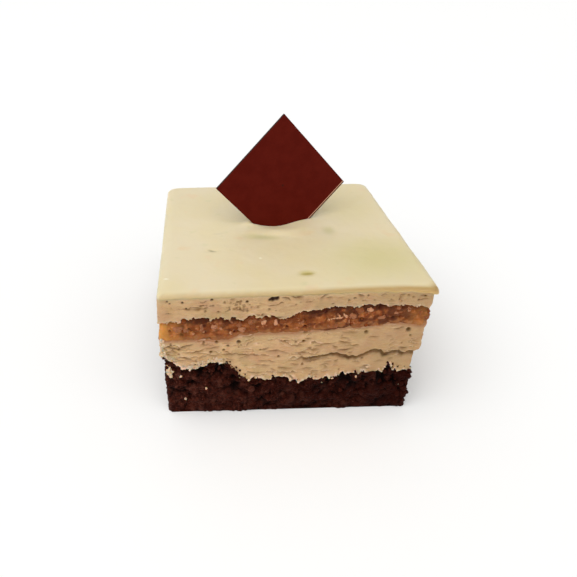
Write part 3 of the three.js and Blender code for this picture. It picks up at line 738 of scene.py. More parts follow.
# Smears that show on the front, as [x, z, radius] in mm. Those at [-23.6, 9.4] and [-29.6, 5.0] are
# painted highlights.
FRONT_SMEARS_AND_GLINTS = [[-33.7, 16.6, 0.8], [-33.5, 15.7, 1.0], [-33.3, 14.7, 1.0], [-33.0, 13.7, 0.8],
                [-32.6, 15.2, 0.7], [-26.8, 15.8, 0.4], [-30.4, 13.8, 0.4],
                [-23.6, 9.4, 0.42], [-29.6, 5.0, 0.42], [9.4, 8.9, 0.25], [18.3, 11.9, 0.35],
                [31.9, 8.2, 0.4]]
SMEAR_AND_GLINT_PALENESS = 0.35
# The smears on the other sides lie between these shares of the brownie's height.
LOOSE_SMEARS = {"count": 16, "share": (0.25, 0.95), "radius": (0.18, 0.4)}
SMEAR_AND_GLINT_SHAPE = {"fineness": 3, "flatness": 0.4, "roughness": 0.7, "grain_size": 0.9, "seed": 5}

smears_and_glints = FRONT_SMEARS_AND_GLINTS + [
    [x, draw.uniform(*LOOSE_SMEARS["share"]) * brownie_top[nearest_station(x)],
     draw.uniform(*LOOSE_SMEARS["radius"])]
    for x in draw.uniform(HALF, girth - HALF, LOOSE_SMEARS["count"])]
smear_and_glint_bits = lumps_on("mousse_smears_and_glints", side_points(smears_and_glints, brownie_wall, brownie_z),
                      [radius for *_, radius in smears_and_glints], ("rim", [SMEAR_AND_GLINT_PALENESS] * len(smears_and_glints)), mousse,
                      **SMEAR_AND_GLINT_SHAPE)
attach(smear_and_glint_bits, "root")
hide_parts("brownie")

# ---- Praline ------------------------------------------------------------------------------------
# A layer of praline: chopped nuts set in caramel, spread on the lower mousse. It is clear and amber where
# the caramel ran to the corners, and dark along its upper edge, where the next mousse hangs over it.

PRALINE_TOP = {
    "front": [[-34.2, 32], [-31.7, 32.2], [-29, 32.8], [-26.5, 33.3], [-21.7, 33.1], [-20.5, 33.9],
              [-19, 34], [-17.8, 33], [-15.5, 33.1], [-14, 32.2], [-11.5, 33.8], [-10.8, 34],
              [-10, 33.1], [-8, 33.3], [-5.4, 33], [-4, 32.4], [-1.6, 33], [0.8, 34.5], [6, 34.8],
              [9.6, 35.7], [16, 35.5], [18.5, 36.1], [21.1, 36], [23.8, 35], [26.2, 36], [28, 35.7],
              [29.5, 35.1], [31.5, 35.2], [33.4, 34.6]],
    "waves": [[0.6, 9], [0.5, 3]], "torn": [[0.22, 1.1], [0.15, 0.5]], "seed": 20,
}
PRALINE_ROWS = 36
PRALINE_FACES = ((-0.2, 1.5), (0.2, 2.2))
# The side reaches this far past both lines where it meets the mousse.
PRALINE_OVERLAP = 0.1
# How far out the side stands, how much less at its top, and how much less under the next mousse.
PRALINE_OUT, PRALINE_LEAN, PRALINE_UNDERCUT = -0.2, 0.35, {"depth": 0.7, "share": (0.75, 1)}
PRALINE_LUMPS = [[1.1, 2.4], [0.3, 1.0]]
PRALINE_LUMP_LEVEL = 0.85
# The clear caramel at the corners: how strong it is along the front, its reach, the wander of its edge,
# its patches and their mean, its share at the back, how smooth it is, and how far it bulges out.
AMBER_SHARE = [[-35, 1.0], [35, 0.38]]
AMBER = {"reach": 4.0, "wander": [[1.2, 1.7, 1]], "patches": [[0.35, 1.1, 1]], "mean": 0.75, "at_back": 0.7,
         "smooth": 0.7, "bulge": 0.3}
# How dark the gap under the next mousse is, along the front, the shares of the height between which it
# darkens, and the wander of its edge.
GAP_SHADE = [[-34, 0.1], [-31, 0.5], [-27, 1], [-17, 1], [-13, 0.6], [-2, 0.7], [3, 1], [9, 1], [16, 0.8],
             [21, 1], [27, 0.7], [33, 0.5]]
GAP_START = (0.68, 0.84)
GAP_WANDER = [[0.2, 1.8, 1], [0.1, 0.7, 1]]
# How much of the caramel is dark brown, along the front, and the shapes of the brown veins.
VEINS = [[-35, -0.5], [-25, -0.2], [-5, -0.05], [8, 0.35], [18, 0.55], [28, 0.6], [35, 0.2]]
VEIN_SHAPES = [[1, 1.9, 0.5], [0.4, 0.7, 0.7]]
VEIN_EDGE, VEIN_SHADE = (0.2, 0.6), 0.8
# How deep the creases between the lumps are where their painted shade starts, and where it is darkest.
CREASE_DEPTH = (0.15, 0.75)
# Small dark holes, as [x, z, radius], and how much painted shade they get with each mm of depth.
PRALINE_HOLES = [[-29, 27.8, 0.45], [-23.2, 28.7, 0.5], [-27.2, 29.8, 0.4], [-32, 29.4, 0.4],
                 [2.3, 31.2, 0.5], [2.7, 29.6, 0.4], [17, 31.4, 0.5], [25.2, 31.6, 0.45],
                 [-15.6, 28.6, 0.4], [-2.2, 29.6, 0.4]]
HOLE_SHADE = 2
# The mousse coats the caramel thinly along its foot, up to this share of its height.
COATED = {"shade": 0.8, "share": 0.3, "wander": [[0.1, 1.5, 1]]}
CARAMEL_COLOURS = ((0.18, 0.042, 0.006), (0.352, 0.112, 0.027))
CARAMEL_SPECKS = [[1.1, 0.57, 0.72, (0.475, 0.185, 0.073)]]
CARAMEL_SHADES = {"low": (0.33, 0.14, 0.052), "crevice": (0.085, 0.017, 0.003), "gap": (0.075, 0.012, 0.001),
                  "amber": (0.68, 0.32, 0.07)}

praline_top = line_height(PRALINE_TOP)
share = np.linspace(0, 1, PRALINE_ROWS)[:, None]
praline_z = praline_foot - PRALINE_OVERLAP + share * (praline_top + 2 * PRALINE_OVERLAP - praline_foot)
place = wall(praline_z, np.zeros_like(praline_z))
to_corner = HALF - np.minimum(np.abs(round_a), np.abs(round_b)) * HALF
from_edge = np.abs(to_corner + grain(place, AMBER["wander"])) / AMBER["reach"]
amber = (round_value(AMBER_SHARE) * np.exp(-from_edge ** 1.5) * np.where(round_b > 0, AMBER["at_back"], 1)
         * (AMBER["mean"] + grain(place, AMBER["patches"])))
knobbly = lumpy(place, PRALINE_LUMPS, PRALINE_LUMP_LEVEL)
holes = pits(praline_z, PRALINE_HOLES)
veins = ramp(grain(place, VEIN_SHAPES) + round_value(VEINS), *VEIN_EDGE)
undercut = PRALINE_UNDERCUT["depth"] * ramp(share, *PRALINE_UNDERCUT["share"])
praline_out = (PRALINE_OUT - PRALINE_LEAN * share - undercut + (1 - AMBER["smooth"] * amber) * knobbly
               + AMBER["bulge"] * amber * np.sin(math.pi * share) + holes)
# Painted shade in the creases between the lumps and in the holes, with the brown veins.
crevice = np.maximum(ramp(-knobbly, *CREASE_DEPTH), VEIN_SHADE * veins) * (1 - amber) - HOLE_SHADE * holes
bare = ramp(share + grain(place, COATED["wander"]), 0, COATED["share"])
praline = layer("praline_bed", praline_foot, praline_top, praline_z, praline_out, PRALINE_FACES, {
    "amber": amber,
    "gap": round_value(GAP_SHADE) * ramp(share + grain(place, GAP_WANDER), *GAP_START),
    "crevice": np.clip(crevice, 0, 1),
    "low": COATED["shade"] * (1 - bare)})

caramel, tree, shader = new_material("nut_caramel", 0.4, Subsurface_Weight=1.0, Subsurface_Scale=0.5 * MM,
                                     Subsurface_Radius=(1.0, 0.35, 0.12), Specular_IOR_Level=0.12)
place = object_place(tree)
colour = mix(tree, speckle(tree, place, 2.2, 0.35, 0.65), *CARAMEL_COLOURS)
colour = with_shades(tree, with_specks(tree, place, colour, CARAMEL_SPECKS), CARAMEL_SHADES)
tree.links.new(colour, shader.inputs["Base Color"])
bump(tree, shader, speckle(tree, place, 0.5, 0.2, 0.8), 0.12)
praline.data.materials.append(caramel)
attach(praline, "root")
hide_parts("praline")

# ---- Nut pieces ---------------------------------------------------------------------------------
# Chopped hazelnut in the praline, from pale cut faces to brown skin, half sunk in the caramel.

# The pieces that show on the front, as [x, z, radius, paleness].
FRONT_NUTS = [[-8.6, 31.4, 1.0, 0.95], [-5, 31.3, 0.9, 0.85], [18.9, 34.3, 0.9, 0.85],
              [-20.8, 30.2, 0.8, 0.55], [-18.9, 29.8, 0.7, 0.55], [-11.2, 31.2, 1.0, 0.3],
              [1.5, 31, 0.8, 0.4], [25.5, 33, 0.8, 0.4], [-24, 30.4, 1.0, 0.3],
              [-28, 29.5, 0.9, 0.3], [14.5, 32.5, 1.0, 0.3], [22, 32, 0.9, 0.3],
              [28.6, 34, 0.8, 0.5], [-14.5, 30.5, 1.0, 0.2], [17.4, 31.2, 0.6, 0],
              [18.2, 29.9, 0.6, 0], [18.8, 28.8, 0.5, 0], [2.4, 30.7, 0.5, 0],
              [2.8, 28.9, 0.5, 0], [34.8, 31.4, 0.9, 0.1], [34.6, 33.2, 0.7, 0]]
# A pale splinter of nut in the right half of the front, made of overlapping bits at full paleness,
# partly a real pale piece, partly the painted highlight along it.
SPLINTER_AND_HIGHLIGHT = {"start": (7.8, 31.2), "end": (12.8, 32.5), "bits": 11, "radius": 0.56}
NUT_SINK = 0.4
# The others: how many and how large, how much of the room under the praline's top one may take, and
# how far they stay from the corners. More of them keep their skin on the right of the front, so they
# are less pale there, and so are large ones: their paleness is the first value less the second a mm.
SPREAD_NUTS, NUT_RADIUS = 150, (0.4, 1.1)
TOP_ROOM, CORNER_ROOM = 0.8, 2.5
NUT_PALENESS = [[-35, 1.0], [2, 1.0], [10, 0.5], [35, 0.5]]
PALENESS_BY_SIZE = (1.1, 0.6)
NUT_SHAPE = {"fineness": 3, "flatness": 0.5, "roughness": 1.5, "grain_size": 1.0, "seed": 8}
NUT_COLOURS = ((0.19, 0.045, 0.006), (0.64, 0.32, 0.175))
NUT_SPECKS = [[0.5, 0.55, 0.7, (0.2, 0.065, 0.022)]]

praline_wall = wall(praline_z, praline_out - NUT_SINK)
nut_spots = spread(SPREAD_NUTS, praline_foot, praline_top,
                   lambda: [draw.uniform(*NUT_RADIUS), draw.random() ** 2])
nut_paleness = round_value(NUT_PALENESS)
splinter_and_highlight = np.linspace(SPLINTER_AND_HIGHLIGHT["start"], SPLINTER_AND_HIGHLIGHT["end"], SPLINTER_AND_HIGHLIGHT["bits"])
nut_marks = FRONT_NUTS + [[x, z, SPLINTER_AND_HIGHLIGHT["radius"], 1] for x, z in splinter_and_highlight]
for x, z, radius, paleness in nut_spots:
    station = nearest_station(x)
    radius = min(radius, TOP_ROOM * (praline_top[station] - z))
    paleness *= nut_paleness[station] * (PALENESS_BY_SIZE[0] - PALENESS_BY_SIZE[1] * radius)
    if to_corner[station] > CORNER_ROOM:
        nut_marks.append([x, z, radius, paleness])
nut, tree, shader = new_material("chopped_hazelnut", 0.42, Subsurface_Weight=0.6, Subsurface_Scale=0.5 * MM,
                                 Subsurface_Radius=(1.0, 0.6, 0.35), Specular_IOR_Level=0.12)
place = object_place(tree)
colour = with_specks(tree, place, mix(tree, attribute(tree, "tint"), *NUT_COLOURS), NUT_SPECKS)
tree.links.new(colour, shader.inputs["Base Color"])
nuts = lumps_on("nut_pieces", side_points(nut_marks, praline_wall, praline_z),
                [mark[2] for mark in nut_marks], ("tint", [mark[3] for mark in nut_marks]), nut, **NUT_SHAPE)
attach(nuts, "root")
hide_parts("praline")

# ---- Upper mousse -------------------------------------------------------------------------------
# The second layer of the same mousse, smoother than the first, with dark specks of nut skin and a patch
# of fine bubbles. Its crumbly lower edge hangs over the praline.

GLAZE_FOOT = {
    "front": [[-34, 39.3], [-19, 39.4], [0, 39.6], [12, 39.9], [29, 40], [33, 39.6], [35, 38.9]],
    "waves": [[0.25, 10]], "torn": [[0.14, 1.6], [0.1, 0.6]], "seed": 7,
}
UPPER_ROWS = 46
UPPER_FACES = ((0.2, 3), (0.15, 1))
# The glaze is thicker in the middle, where the plaque pressed it down.
GLAZE_SAG = 1.6
# The hanging foot, its rounding and its crumbs, and the tears and pits, as in the lower mousse.
UPPER_HANG = {"depth": 0.5, "length": 0.9, "noise": (0.1, 0.8)}
UPPER_ROUND = {"depth": 0.35, "reach": 0.2}
UPPER_CRUMBLE = {"lumps": [[0.7, 0.95]], "reach": 0.9}
UPPER_TEARS = {"count": 70, "length": (1.0, 3.0), "rise": 0.4, "depth": (0.1, 0.25)}
UPPER_PITS = {"count": 150, "radius": (0.18, 0.36)}
# How much of the lower mousse's relief and flakes there is, and how near the glaze they fade out.
UPPER_RELIEF, UPPER_FLAKES, UPPER_FADE = 0.6, 0.4, 0.5
# This mousse is painted a little darker than the lower one all over, as painted shade, and it is paler
# at its foot and creamy under the glaze.
UPPER_CUTS = {"all": 0.07, "cuts": 1.6, "flakes": 0.8, "under": (0.2, 0.4)}
UPPER_RIM = {"shade": 0.5, "reach": 0.5}
UPPER_CREAM = {"shade": 0.75, "reach": 0.7}
# Specks of nut skin, as [x, z, radius], and how dark they get with each mm of depth.
SPECK_SHADE = 2.5
FRONT_SPECKS = [[-6.5, 38.6, 0.62], [-5.6, 38.85, 0.62], [-7.2, 38.4, 0.4], [-12.8, 38, 0.35],
                [-21.5, 38.9, 0.35], [-32.4, 38.7, 0.28], [-31.8, 38.1, 0.25], [-28.7, 38.3, 0.32],
                [-27.8, 36.4, 0.28], [17.4, 39.0, 0.26], [32.2, 38.3, 0.24]]
# Nicks under the glaze, as [x, z, length, rise, depth].
FRONT_NICKS = [[6.3, 39.3, 2.2, 1.2, 0.8], [7.6, 38.8, 1.8, 0.3, 0.4], [-0.1, 39.2, 3.0, 0.4, 0.6],
               [15.6, 39.3, 1.8, -0.8, 0.7], [26.2, 39.1, 1.8, 0.3, 0.55], [25.8, 38.4, 1.0, -0.3, 0.4],
               [-3.2, 38.9, 1.6, -0.3, 0.5], [21.5, 39.2, 1.5, 0.2, 0.4], [-16.4, 38.9, 1.5, 0.3, 0.45]]
BUBBLY_PATCH = {"x": (-18.5, -11.5), "z": (35.2, 38.2), "radius": (0.18, 0.34)}
BUBBLES = 46

glaze_foot = line_height(GLAZE_FOOT)
upper_foot = praline_top - UPPER_HANG["depth"] * ramp(plan_noise(UPPER_HANG["length"], 3),
                                                      *UPPER_HANG["noise"])
share = np.linspace(0, 1, UPPER_ROWS)[:, None]
upper_z = upper_foot + share * (glaze_foot - upper_foot)
place = wall(upper_z, np.zeros_like(upper_z))
above_foot = upper_z - upper_foot
under_glaze = glaze_foot - upper_z
foot_round = UPPER_ROUND["depth"] * np.exp(-above_foot / UPPER_ROUND["reach"])
bubbles = [[draw.uniform(*limits) for limits in BUBBLY_PATCH.values()] for _ in range(BUBBLES)]
small_pits = spread_pits(praline_top, glaze_foot, **UPPER_PITS)
pitted_upper = pits(upper_z, FRONT_SPECKS + bubbles + small_pits)
torn_upper = tears(upper_z, FRONT_NICKS + spread_tears(praline_top, glaze_foot, **UPPER_TEARS))
crumbly = (lumpy(place, UPPER_CRUMBLE["lumps"], MOUSSE_LUMP_LEVEL)
           * np.exp(-above_foot / UPPER_CRUMBLE["reach"]))
flaked_upper = UPPER_FLAKES * flakes(place)[0]
cut_relief = UPPER_RELIEF * mousse_relief(place) - FLAKE_DEPTH * flaked_upper + torn_upper
upper_out = (1 - np.exp(-under_glaze / UPPER_FADE)) * cut_relief - foot_round + crumbly + pitted_upper

# Its cut attribute is painted shade, in the tears and pits, under the flakes and a little all over.
upper_mousse = layer("upper_mousse_slab", upper_foot, glaze_foot, upper_z, upper_out, UPPER_FACES, {
    "cut": cut_shade(pitted_upper + torn_upper, flaked_upper, UPPER_CUTS),
    "rim": UPPER_RIM["shade"] * np.exp(-above_foot / UPPER_RIM["reach"]),
    "speck_and_crack_shade": np.clip(-SPECK_SHADE * pits(upper_z, FRONT_SPECKS), 0, 1),
    "cream": UPPER_CREAM["shade"] * np.exp(-under_glaze / UPPER_CREAM["reach"])}, GLAZE_SAG)
upper_mousse.data.materials.append(mousse)
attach(upper_mousse, "root")
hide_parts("upper_mousse")

# ---- Mousse crumbs ------------------------------------------------------------------------------
# Small crumbs of mousse that hang at the torn lower edges of both mousse layers, paler than the cut
# face. They are thickest on the left of the front.

AROUND = (-HALF, girth - HALF)
# How many there are, how far over the foot they lie, and where along the unrolled side.
LOWER_CRUMBS = {"count": 620, "over": (-0.2, 0.9), "along": AROUND}
LEFT_CRUMBS = {"count": 90, "over": (-0.2, 1.5), "along": (-HALF, -HALF / 2)}
CORNER_CRUMBS = {"count": 40, "over": (0, 6), "along": (-HALF, -HALF + 1.2)}
UPPER_CRUMBS = {"count": 240, "over": (-0.2, 0.5), "along": AROUND}
FOOT_CRUMB_RADIUS = (0.16, 0.42)
LOWER_PALENESS, UPPER_PALENESS = (0.1, 0.75), (0, 0.4)
FOOT_CRUMB_SHAPE = {"fineness": 2, "flatness": 0.7, "roughness": 0.7, "grain_size": 0.5, "seed": 11}
# The stretch of the front where the foot steps down steeply, without the first two kinds.
STEP = (-17.8, -12)


def foot_marks(foot, count, over, along):
    return [[x, foot[nearest_station(x)] + draw.uniform(*over)] for x in draw.uniform(*along, count)]


lower_marks = foot_marks(mousse_foot, **LOWER_CRUMBS) + foot_marks(mousse_foot, **LEFT_CRUMBS)
lower_marks = [mark for mark in lower_marks if not STEP[0] < mark[0] < STEP[1]]
lower_marks += foot_marks(mousse_foot, **CORNER_CRUMBS)
upper_marks = foot_marks(upper_foot, **UPPER_CRUMBS)
lower_wall = wall(lower_z, lower_out)
foot_points = [*side_points(lower_marks, lower_wall, lower_z),
               *side_points(upper_marks, wall(upper_z, upper_out), upper_z)]
foot_paleness = [draw.uniform(*paleness) for marks, paleness in ((lower_marks, LOWER_PALENESS),
                                                                 (upper_marks, UPPER_PALENESS))
                 for _ in marks]
foot_radii = [draw.uniform(*FOOT_CRUMB_RADIUS) for _ in foot_points]
foot_crumbs = lumps_on("mousse_crumbs", foot_points, foot_radii, ("rim", foot_paleness), mousse,
                       **FOOT_CRUMB_SHAPE)
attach(foot_crumbs, "root")
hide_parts("lower_mousse", "upper_mousse")

# ---- Dragged crumbs -----------------------------------------------------------------------------
# Brown crumbs that the knife dragged from the brownie onto the lower mousse, close over its foot. On
# the front they are thickest at the step.

# The crumbs that show on the front, as [x, z, radius] in mm.
STEP_CRUMBS = [[-17.6, 18.6, 0.5], [-17.0, 17.8, 0.7], [-16.6, 16.9, 0.6], [-16.0, 16.2, 0.7],
               [-15.6, 15.3, 0.6], [-15.0, 14.6, 0.7], [-14.4, 13.9, 0.5], [-13.8, 13.2, 0.6],
               [-13.0, 12.5, 0.6], [-12.4, 11.9, 0.5], [-16.8, 18.8, 0.3], [-15.2, 16.8, 0.3],
               [-14.2, 15.4, 0.3], [-12.8, 14.2, 0.25], [28.4, 15.6, 0.4], [26.8, 16.4, 0.35],
               [27.4, 15.2, 0.5]]
DRAGGED_CRUMBS = {"count": 90, "over": (0, 1.4), "along": AROUND}
DRAGGED_RADIUS = (0.12, 0.32)
DRAGGED_MOIST = 0.4
DRAGGED_SHAPE = {"fineness": 2, "flatness": 0.6, "roughness": 0.9, "grain_size": 0.5, "seed": 13}

dragged_marks = [*STEP_CRUMBS, *foot_marks(mousse_foot, **DRAGGED_CRUMBS)]
dragged_radii = [*[radius for *_, radius in STEP_CRUMBS],
                 *draw.uniform(*DRAGGED_RADIUS, DRAGGED_CRUMBS["count"])]
dragged = lumps_on("dragged_crumbs", side_points(dragged_marks, lower_wall, lower_z), dragged_radii,
                   ("moisture_and_light", [DRAGGED_MOIST] * len(dragged_marks)), brownie_crumb, **DRAGGED_SHAPE)
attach(dragged, "root")
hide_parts("lower_mousse")

# ---- Glaze --------------------------------------------------------------------------------------
# A thin poured glaze, pale cream and slightly glossy, with a soft rounded edge. It gathered into a
# thicker lip at the front right corner, and was pushed up a little on the left of the plaque's foot.

# How far the glaze's edge stands out, along the front, how far the rounded edge reaches in, and how
# much less it stands out at the two back corners.
GLAZE_LIP = [[-35, 0.05], [12, 0.05], [28, 0.4], [35, 0.9]]
GLAZE_EDGE_REACH = 2.4
BACK_CORNER_CUT = {"depth": 0.45, "reach": 1.8}
GLAZE_OVERLAP, GLAZE_IN = 0.05, 1.5
# How tan the edge is, along the front, and how much of that is left on the other sides: partly a tan
# tint of the thin edge, partly painted shade on its steep rounded face. An edge is in the front as far
# as it faces forwards, between two values. Facing to the right counts a little too.
TAN_AND_SHADE_SHARE = [[-35, 0.85], [0, 1.0], [12, 1.4], [35, 2.0]]
PALE_EDGES = 0.15
RIGHTWARD_SHARE, FACING_FRONT = 0.25, (0.2, 0.9)
TOP_WAVE = {"height": 0.12, "length": 14}
TOP_SHAPES = [
    {"height": 0.7, "x": 26, "y": -34, "reach": (13, 13)},
    {"height": -0.22, "x": -5, "y": -4.8, "reach": (4.5, 1.6)},
    {"height": -0.2, "x": 13.3, "y": -1, "reach": (1.6, 3.2)},
    {"height": -0.25, "x": -20.9, "y": -13.2, "reach": (1.1, 0.45)},
    {"height": -0.18, "x": 3.6, "y": -26.8, "reach": (2, 0.8)},
]
TOP_DIMPLE = {"height": -1.1, "x": -0.3, "y": 4.2, "reach": (4, 2.4)}
PLAQUE_RIDGE = {"height": 1.0, "x": -9.2, "y": 3.4, "reach": (1.6, 1.3)}
GLAZE_EDGE_ROWS, GLAZE_TOP_ROWS, MIDDLE_RING = 16, 60, 0.02
# Marks on the top, as [x, y, length, width, turn in degrees, colour].
TOP_MARKS = [
    # Darker and yellower on the right, partly painted shade as the light falls from the left.
    [24, -20, 46, 40, 0, (0.67, 0.59, 0.3)], [24, 14, 34, 40, 0, (0.71, 0.61, 0.36)],
    # A painted pool of light in front of the plaque, against its shade.
    [-1, -3, 26, 15, 0, (0.86, 0.75, 0.48)],
    [3.5, -26.7, 6.5, 4.6, 6, (0.56, 0.47, 0.17)], [3.7, -26.9, 5, 1.6, 6, (0.42, 0.33, 0.08)],
    # Painted shade in a shallow crease.
    [-20.9, -13.2, 4.0, 1.5, -28, (0.42, 0.34, 0.18)],
    # A pale speck, and a painted highlight near the front left corner.
    [-7.8, -18, 1.3, 1.6, 0, (0.9, 0.84, 0.66)], [-32.6, -27.3, 2.2, 1.0, -10, (0.92, 0.86, 0.7)],
    # Painted shade in two shallow dips.
    [-6.6, -5.2, 15, 6, -8, (0.65, 0.59, 0.32)], [14, -2, 6, 9, 0, (0.64, 0.57, 0.32)],
    [-19, -3, 5, 1.6, 5, (0.7, 0.6, 0.39)],
]
GLAZE_COLOURS = ((0.758, 0.648, 0.402), (0.768, 0.663, 0.446))
GLAZE_SPECKS = [[4.0, 0.62, 0.8, (0.7, 0.62, 0.37)], [7.0, 0.6, 0.75, (0.77, 0.62, 0.39)]]
GLAZE_TAN_AND_SHADE = {"tan_and_edge_shade": (0.45, 0.3, 0.108)}


def bell(x, y, spot):
    """A soft rise or dip of the glaze's face."""
    reach_x, reach_y = spot["reach"]
    from_middle = ((x - spot["x"]) / reach_x) ** 2 + ((y - spot["y"]) / reach_y) ** 2
    return spot["height"] * np.exp(-from_middle / 2)


def top_height(x, y):
    """Height of the glaze's upper face."""
    height = CAKE_HEIGHT + TOP_WAVE["height"] * noise(x / TOP_WAVE["length"], y / TOP_WAVE["length"])
    return height + sum(bell(x, y, spot) for spot in (*TOP_SHAPES, TOP_DIMPLE, PLAQUE_RIDGE))


def with_top_height(points):
    points[..., 2] = top_height(points[..., 0], points[..., 1])
    return points


back_corner = (round_b > 0) * np.exp(-(to_corner / BACK_CORNER_CUT["reach"]) ** 2)
glaze_lip = round_value(GLAZE_LIP) - BACK_CORNER_CUT["depth"] * back_corner
edge_angle = np.linspace(0, math.pi / 2, GLAZE_EDGE_ROWS)
edge = []
for angle in edge_angle:
    closer = 1 - GLAZE_EDGE_REACH * (1 - math.cos(angle)) / HALF
    ring = plan_place(round_a * closer, round_b * closer, np.full_like(run, CAKE_HEIGHT))
    ring[:, :2] += outward * glaze_lip[:, None]
    ring = with_top_height(ring)
    ring[:, 2] += (glaze_foot - GLAZE_OVERLAP - ring[:, 2]) * (1 - math.sin(angle))
    edge.append(ring)
pole = np.array([TOP_DIMPLE["x"], TOP_DIMPLE["y"], CAKE_HEIGHT])
face = [with_top_height(pole + (edge[-1] - pole) * step)
        for step in np.linspace(1, MIDDLE_RING, GLAZE_TOP_ROWS)[1:]]
underside = meeting(glaze_foot, -GLAZE_IN, GLAZE_SAG)[::-1]
rings = [*underside, *edge, *face]
edge_tan_and_shade = np.zeros((len(rings), len(run)))
facing = ramp(RIGHTWARD_SHARE * outward[:, 0] - outward[:, 1], *FACING_FRONT)
edge_shade = round_value(TAN_AND_SHADE_SHARE) * (PALE_EDGES + (1 - PALE_EDGES) * facing)
up_the_edge = np.sin(edge_angle[:, None]) ** 2.5
edge_tan_and_shade[len(underside):-len(face)] = np.clip((1 - up_the_edge) * edge_shade, 0, 1)
glaze = skin("glaze_coat", rings, {"tan_and_edge_shade": edge_tan_and_shade})

cream, tree, shader = new_material("cream_glaze", 0.38, Subsurface_Weight=1.0, Subsurface_Scale=1.4 * MM,
                                   Subsurface_Radius=(1.0, 0.9, 0.7), Coat_Weight=0.12, Coat_Roughness=0.3)
place = object_place(tree)
colour = mix(tree, speckle(tree, place, 17.0, 0.35, 0.65), *GLAZE_COLOURS)
colour = with_specks(tree, place, colour, GLAZE_SPECKS)
for x, y, length, width, turn, shade in TOP_MARKS:
    centred = add(tree, "ShaderNodeMapping", {"Vector": place, "Location": (x, y, 0),
                                              "Rotation": (0, 0, math.radians(turn)),
                                              "Scale": (length / 2, width / 2, 1000)}, vector_type="TEXTURE")
    spot = add(tree, "ShaderNodeTexGradient", {"Vector": centred.outputs[0]}, gradient_type="SPHERICAL")
    soft = add(tree, "ShaderNodeMapRange", {"Value": spot.outputs["Fac"]}, interpolation_type="SMOOTHSTEP")
    colour = mix(tree, soft.outputs["Result"], colour, shade)
colour = with_shades(tree, colour, GLAZE_TAN_AND_SHADE)
tree.links.new(colour, shader.inputs["Base Color"])
bump(tree, shader, speckle(tree, place, 5.0, 0.2, 0.8), 0.06)
glaze.data.materials.append(cream)
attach(glaze, "root")
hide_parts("glaze")

# ---- Plaque -------------------------------------------------------------------------------------
# A thin square of moulded chocolate with a dark red print on its face, stood on one corner in the glaze
# and leaning back. Its print stops just short of the lower right edge, at a pale line painted on the
# face as the highlight along that edge.

PLAQUE_SIDE = 28.8
PLAQUE_THICKNESS = 1.1
PLAQUE_BEVEL = 0.12
PLAQUE_BOW = 0.12
# The middle of the plaque, and its angles on end: rolled past one corner, leaning back, and turned.
PLAQUE_PLACE = (0.7, 6.3, 51.5)
PLAQUE_ROLL, PLAQUE_LEAN, PLAQUE_TURN = (math.radians(angle) for angle in (-2.7, 9.7, 13.3))
PLAQUE_POINTS = 44
# Rings of the face, as shares of the way from its edge to its middle, and one near its edge in mm.
FACE_RINGS, RIM_RING = (0.97, 0.75, 0.5, 0.25), 2.0
# The print ends this far from the edge, and the painted highlight inside it is this wide.
PRINT_STOP = 0.42
EDGE_HIGHLIGHT_WIDTH = 0.24
PRINT_COLOURS = ((0.08, 0.0044, 0.0015), (0.092, 0.006, 0.0024))
EDGE_HIGHLIGHT_COLOUR, BARE_EDGE_COLOUR = (0.55, 0.3, 0.2), (0.05, 0.012, 0.007)
CHOCOLATE_COLOUR = (0.03, 0.008, 0.005)

reach = PLAQUE_SIDE / 2
side = np.linspace(-1, 1, PLAQUE_POINTS, endpoint=False)
corner_turns = [Matrix.Rotation(quarter * math.pi / 2, 2) for quarter in range(4)]
square = np.concatenate([np.stack([side, -np.ones_like(side)], -1) @ np.array(turn).T
                         for turn in corner_turns])


def plaque_ring(inset, depth):
    """A ring of the plaque, inset from its edge in mm and at a depth behind its front face."""
    flat = square * (reach - inset)
    bowed = depth + PLAQUE_BOW * (flat ** 2).sum(axis=1) / reach ** 2 / 2
    return np.column_stack([flat, -bowed])


insets = [*(reach * share for share in FACE_RINGS), RIM_RING, PRINT_STOP + EDGE_HIGHLIGHT_WIDTH, PRINT_STOP,
          PLAQUE_BEVEL]
back_face = [plaque_ring(inset, PLAQUE_THICKNESS) for inset in insets]
front_face = [plaque_ring(inset, 0.0) for inset in insets[::-1]]
edges = [plaque_ring(0, PLAQUE_THICKNESS - PLAQUE_BEVEL), plaque_ring(0, PLAQUE_BEVEL)]
plaque_rings = np.array([*back_face, *edges, *front_face])
standing = (Matrix.Rotation(PLAQUE_TURN, 3, "Z") @ Matrix.Rotation(math.pi / 2 - PLAQUE_LEAN, 3, "X")
            @ Matrix.Rotation(PLAQUE_ROLL + math.pi / 4, 3, "Z"))
turned = plaque_rings @ np.array(standing).T + np.array(PLAQUE_PLACE)
on_face = np.repeat([0.0, 1.0], [len(back_face) + len(edges), len(front_face)])[:, None]
plaque = skin("chocolate_plaque", turned, {
    "to_lower_edge": -plaque_rings[..., 1], "face": on_face})
plaque.data.polygons.foreach_set("use_smooth", np.zeros(len(plaque.data.polygons), bool))

chocolate, tree, shader = new_material("printed_chocolate", 0.4, Specular_IOR_Level=0.045)
place = object_place(tree)


def step_past(tree, value, limit):
    return add(tree, "ShaderNodeMath", {0: value, 1: limit}, operation="GREATER_THAN").outputs[0]


colour = mix(tree, speckle(tree, place, 3.0, 0.3, 0.7), *PRINT_COLOURS)
to_edge = attribute(tree, "to_lower_edge")
colour = mix(tree, step_past(tree, to_edge, reach - PRINT_STOP - EDGE_HIGHLIGHT_WIDTH), colour, EDGE_HIGHLIGHT_COLOUR)
colour = mix(tree, step_past(tree, to_edge, reach - PRINT_STOP), colour, BARE_EDGE_COLOUR)
colour = mix(tree, attribute(tree, "face"), CHOCOLATE_COLOUR, colour)
tree.links.new(colour, shader.inputs["Base Color"])
bump(tree, shader, speckle(tree, place, 1.2, 0.2, 0.8), 0.02)
plaque.data.materials.append(chocolate)
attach(plaque, "root")
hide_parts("plaque")

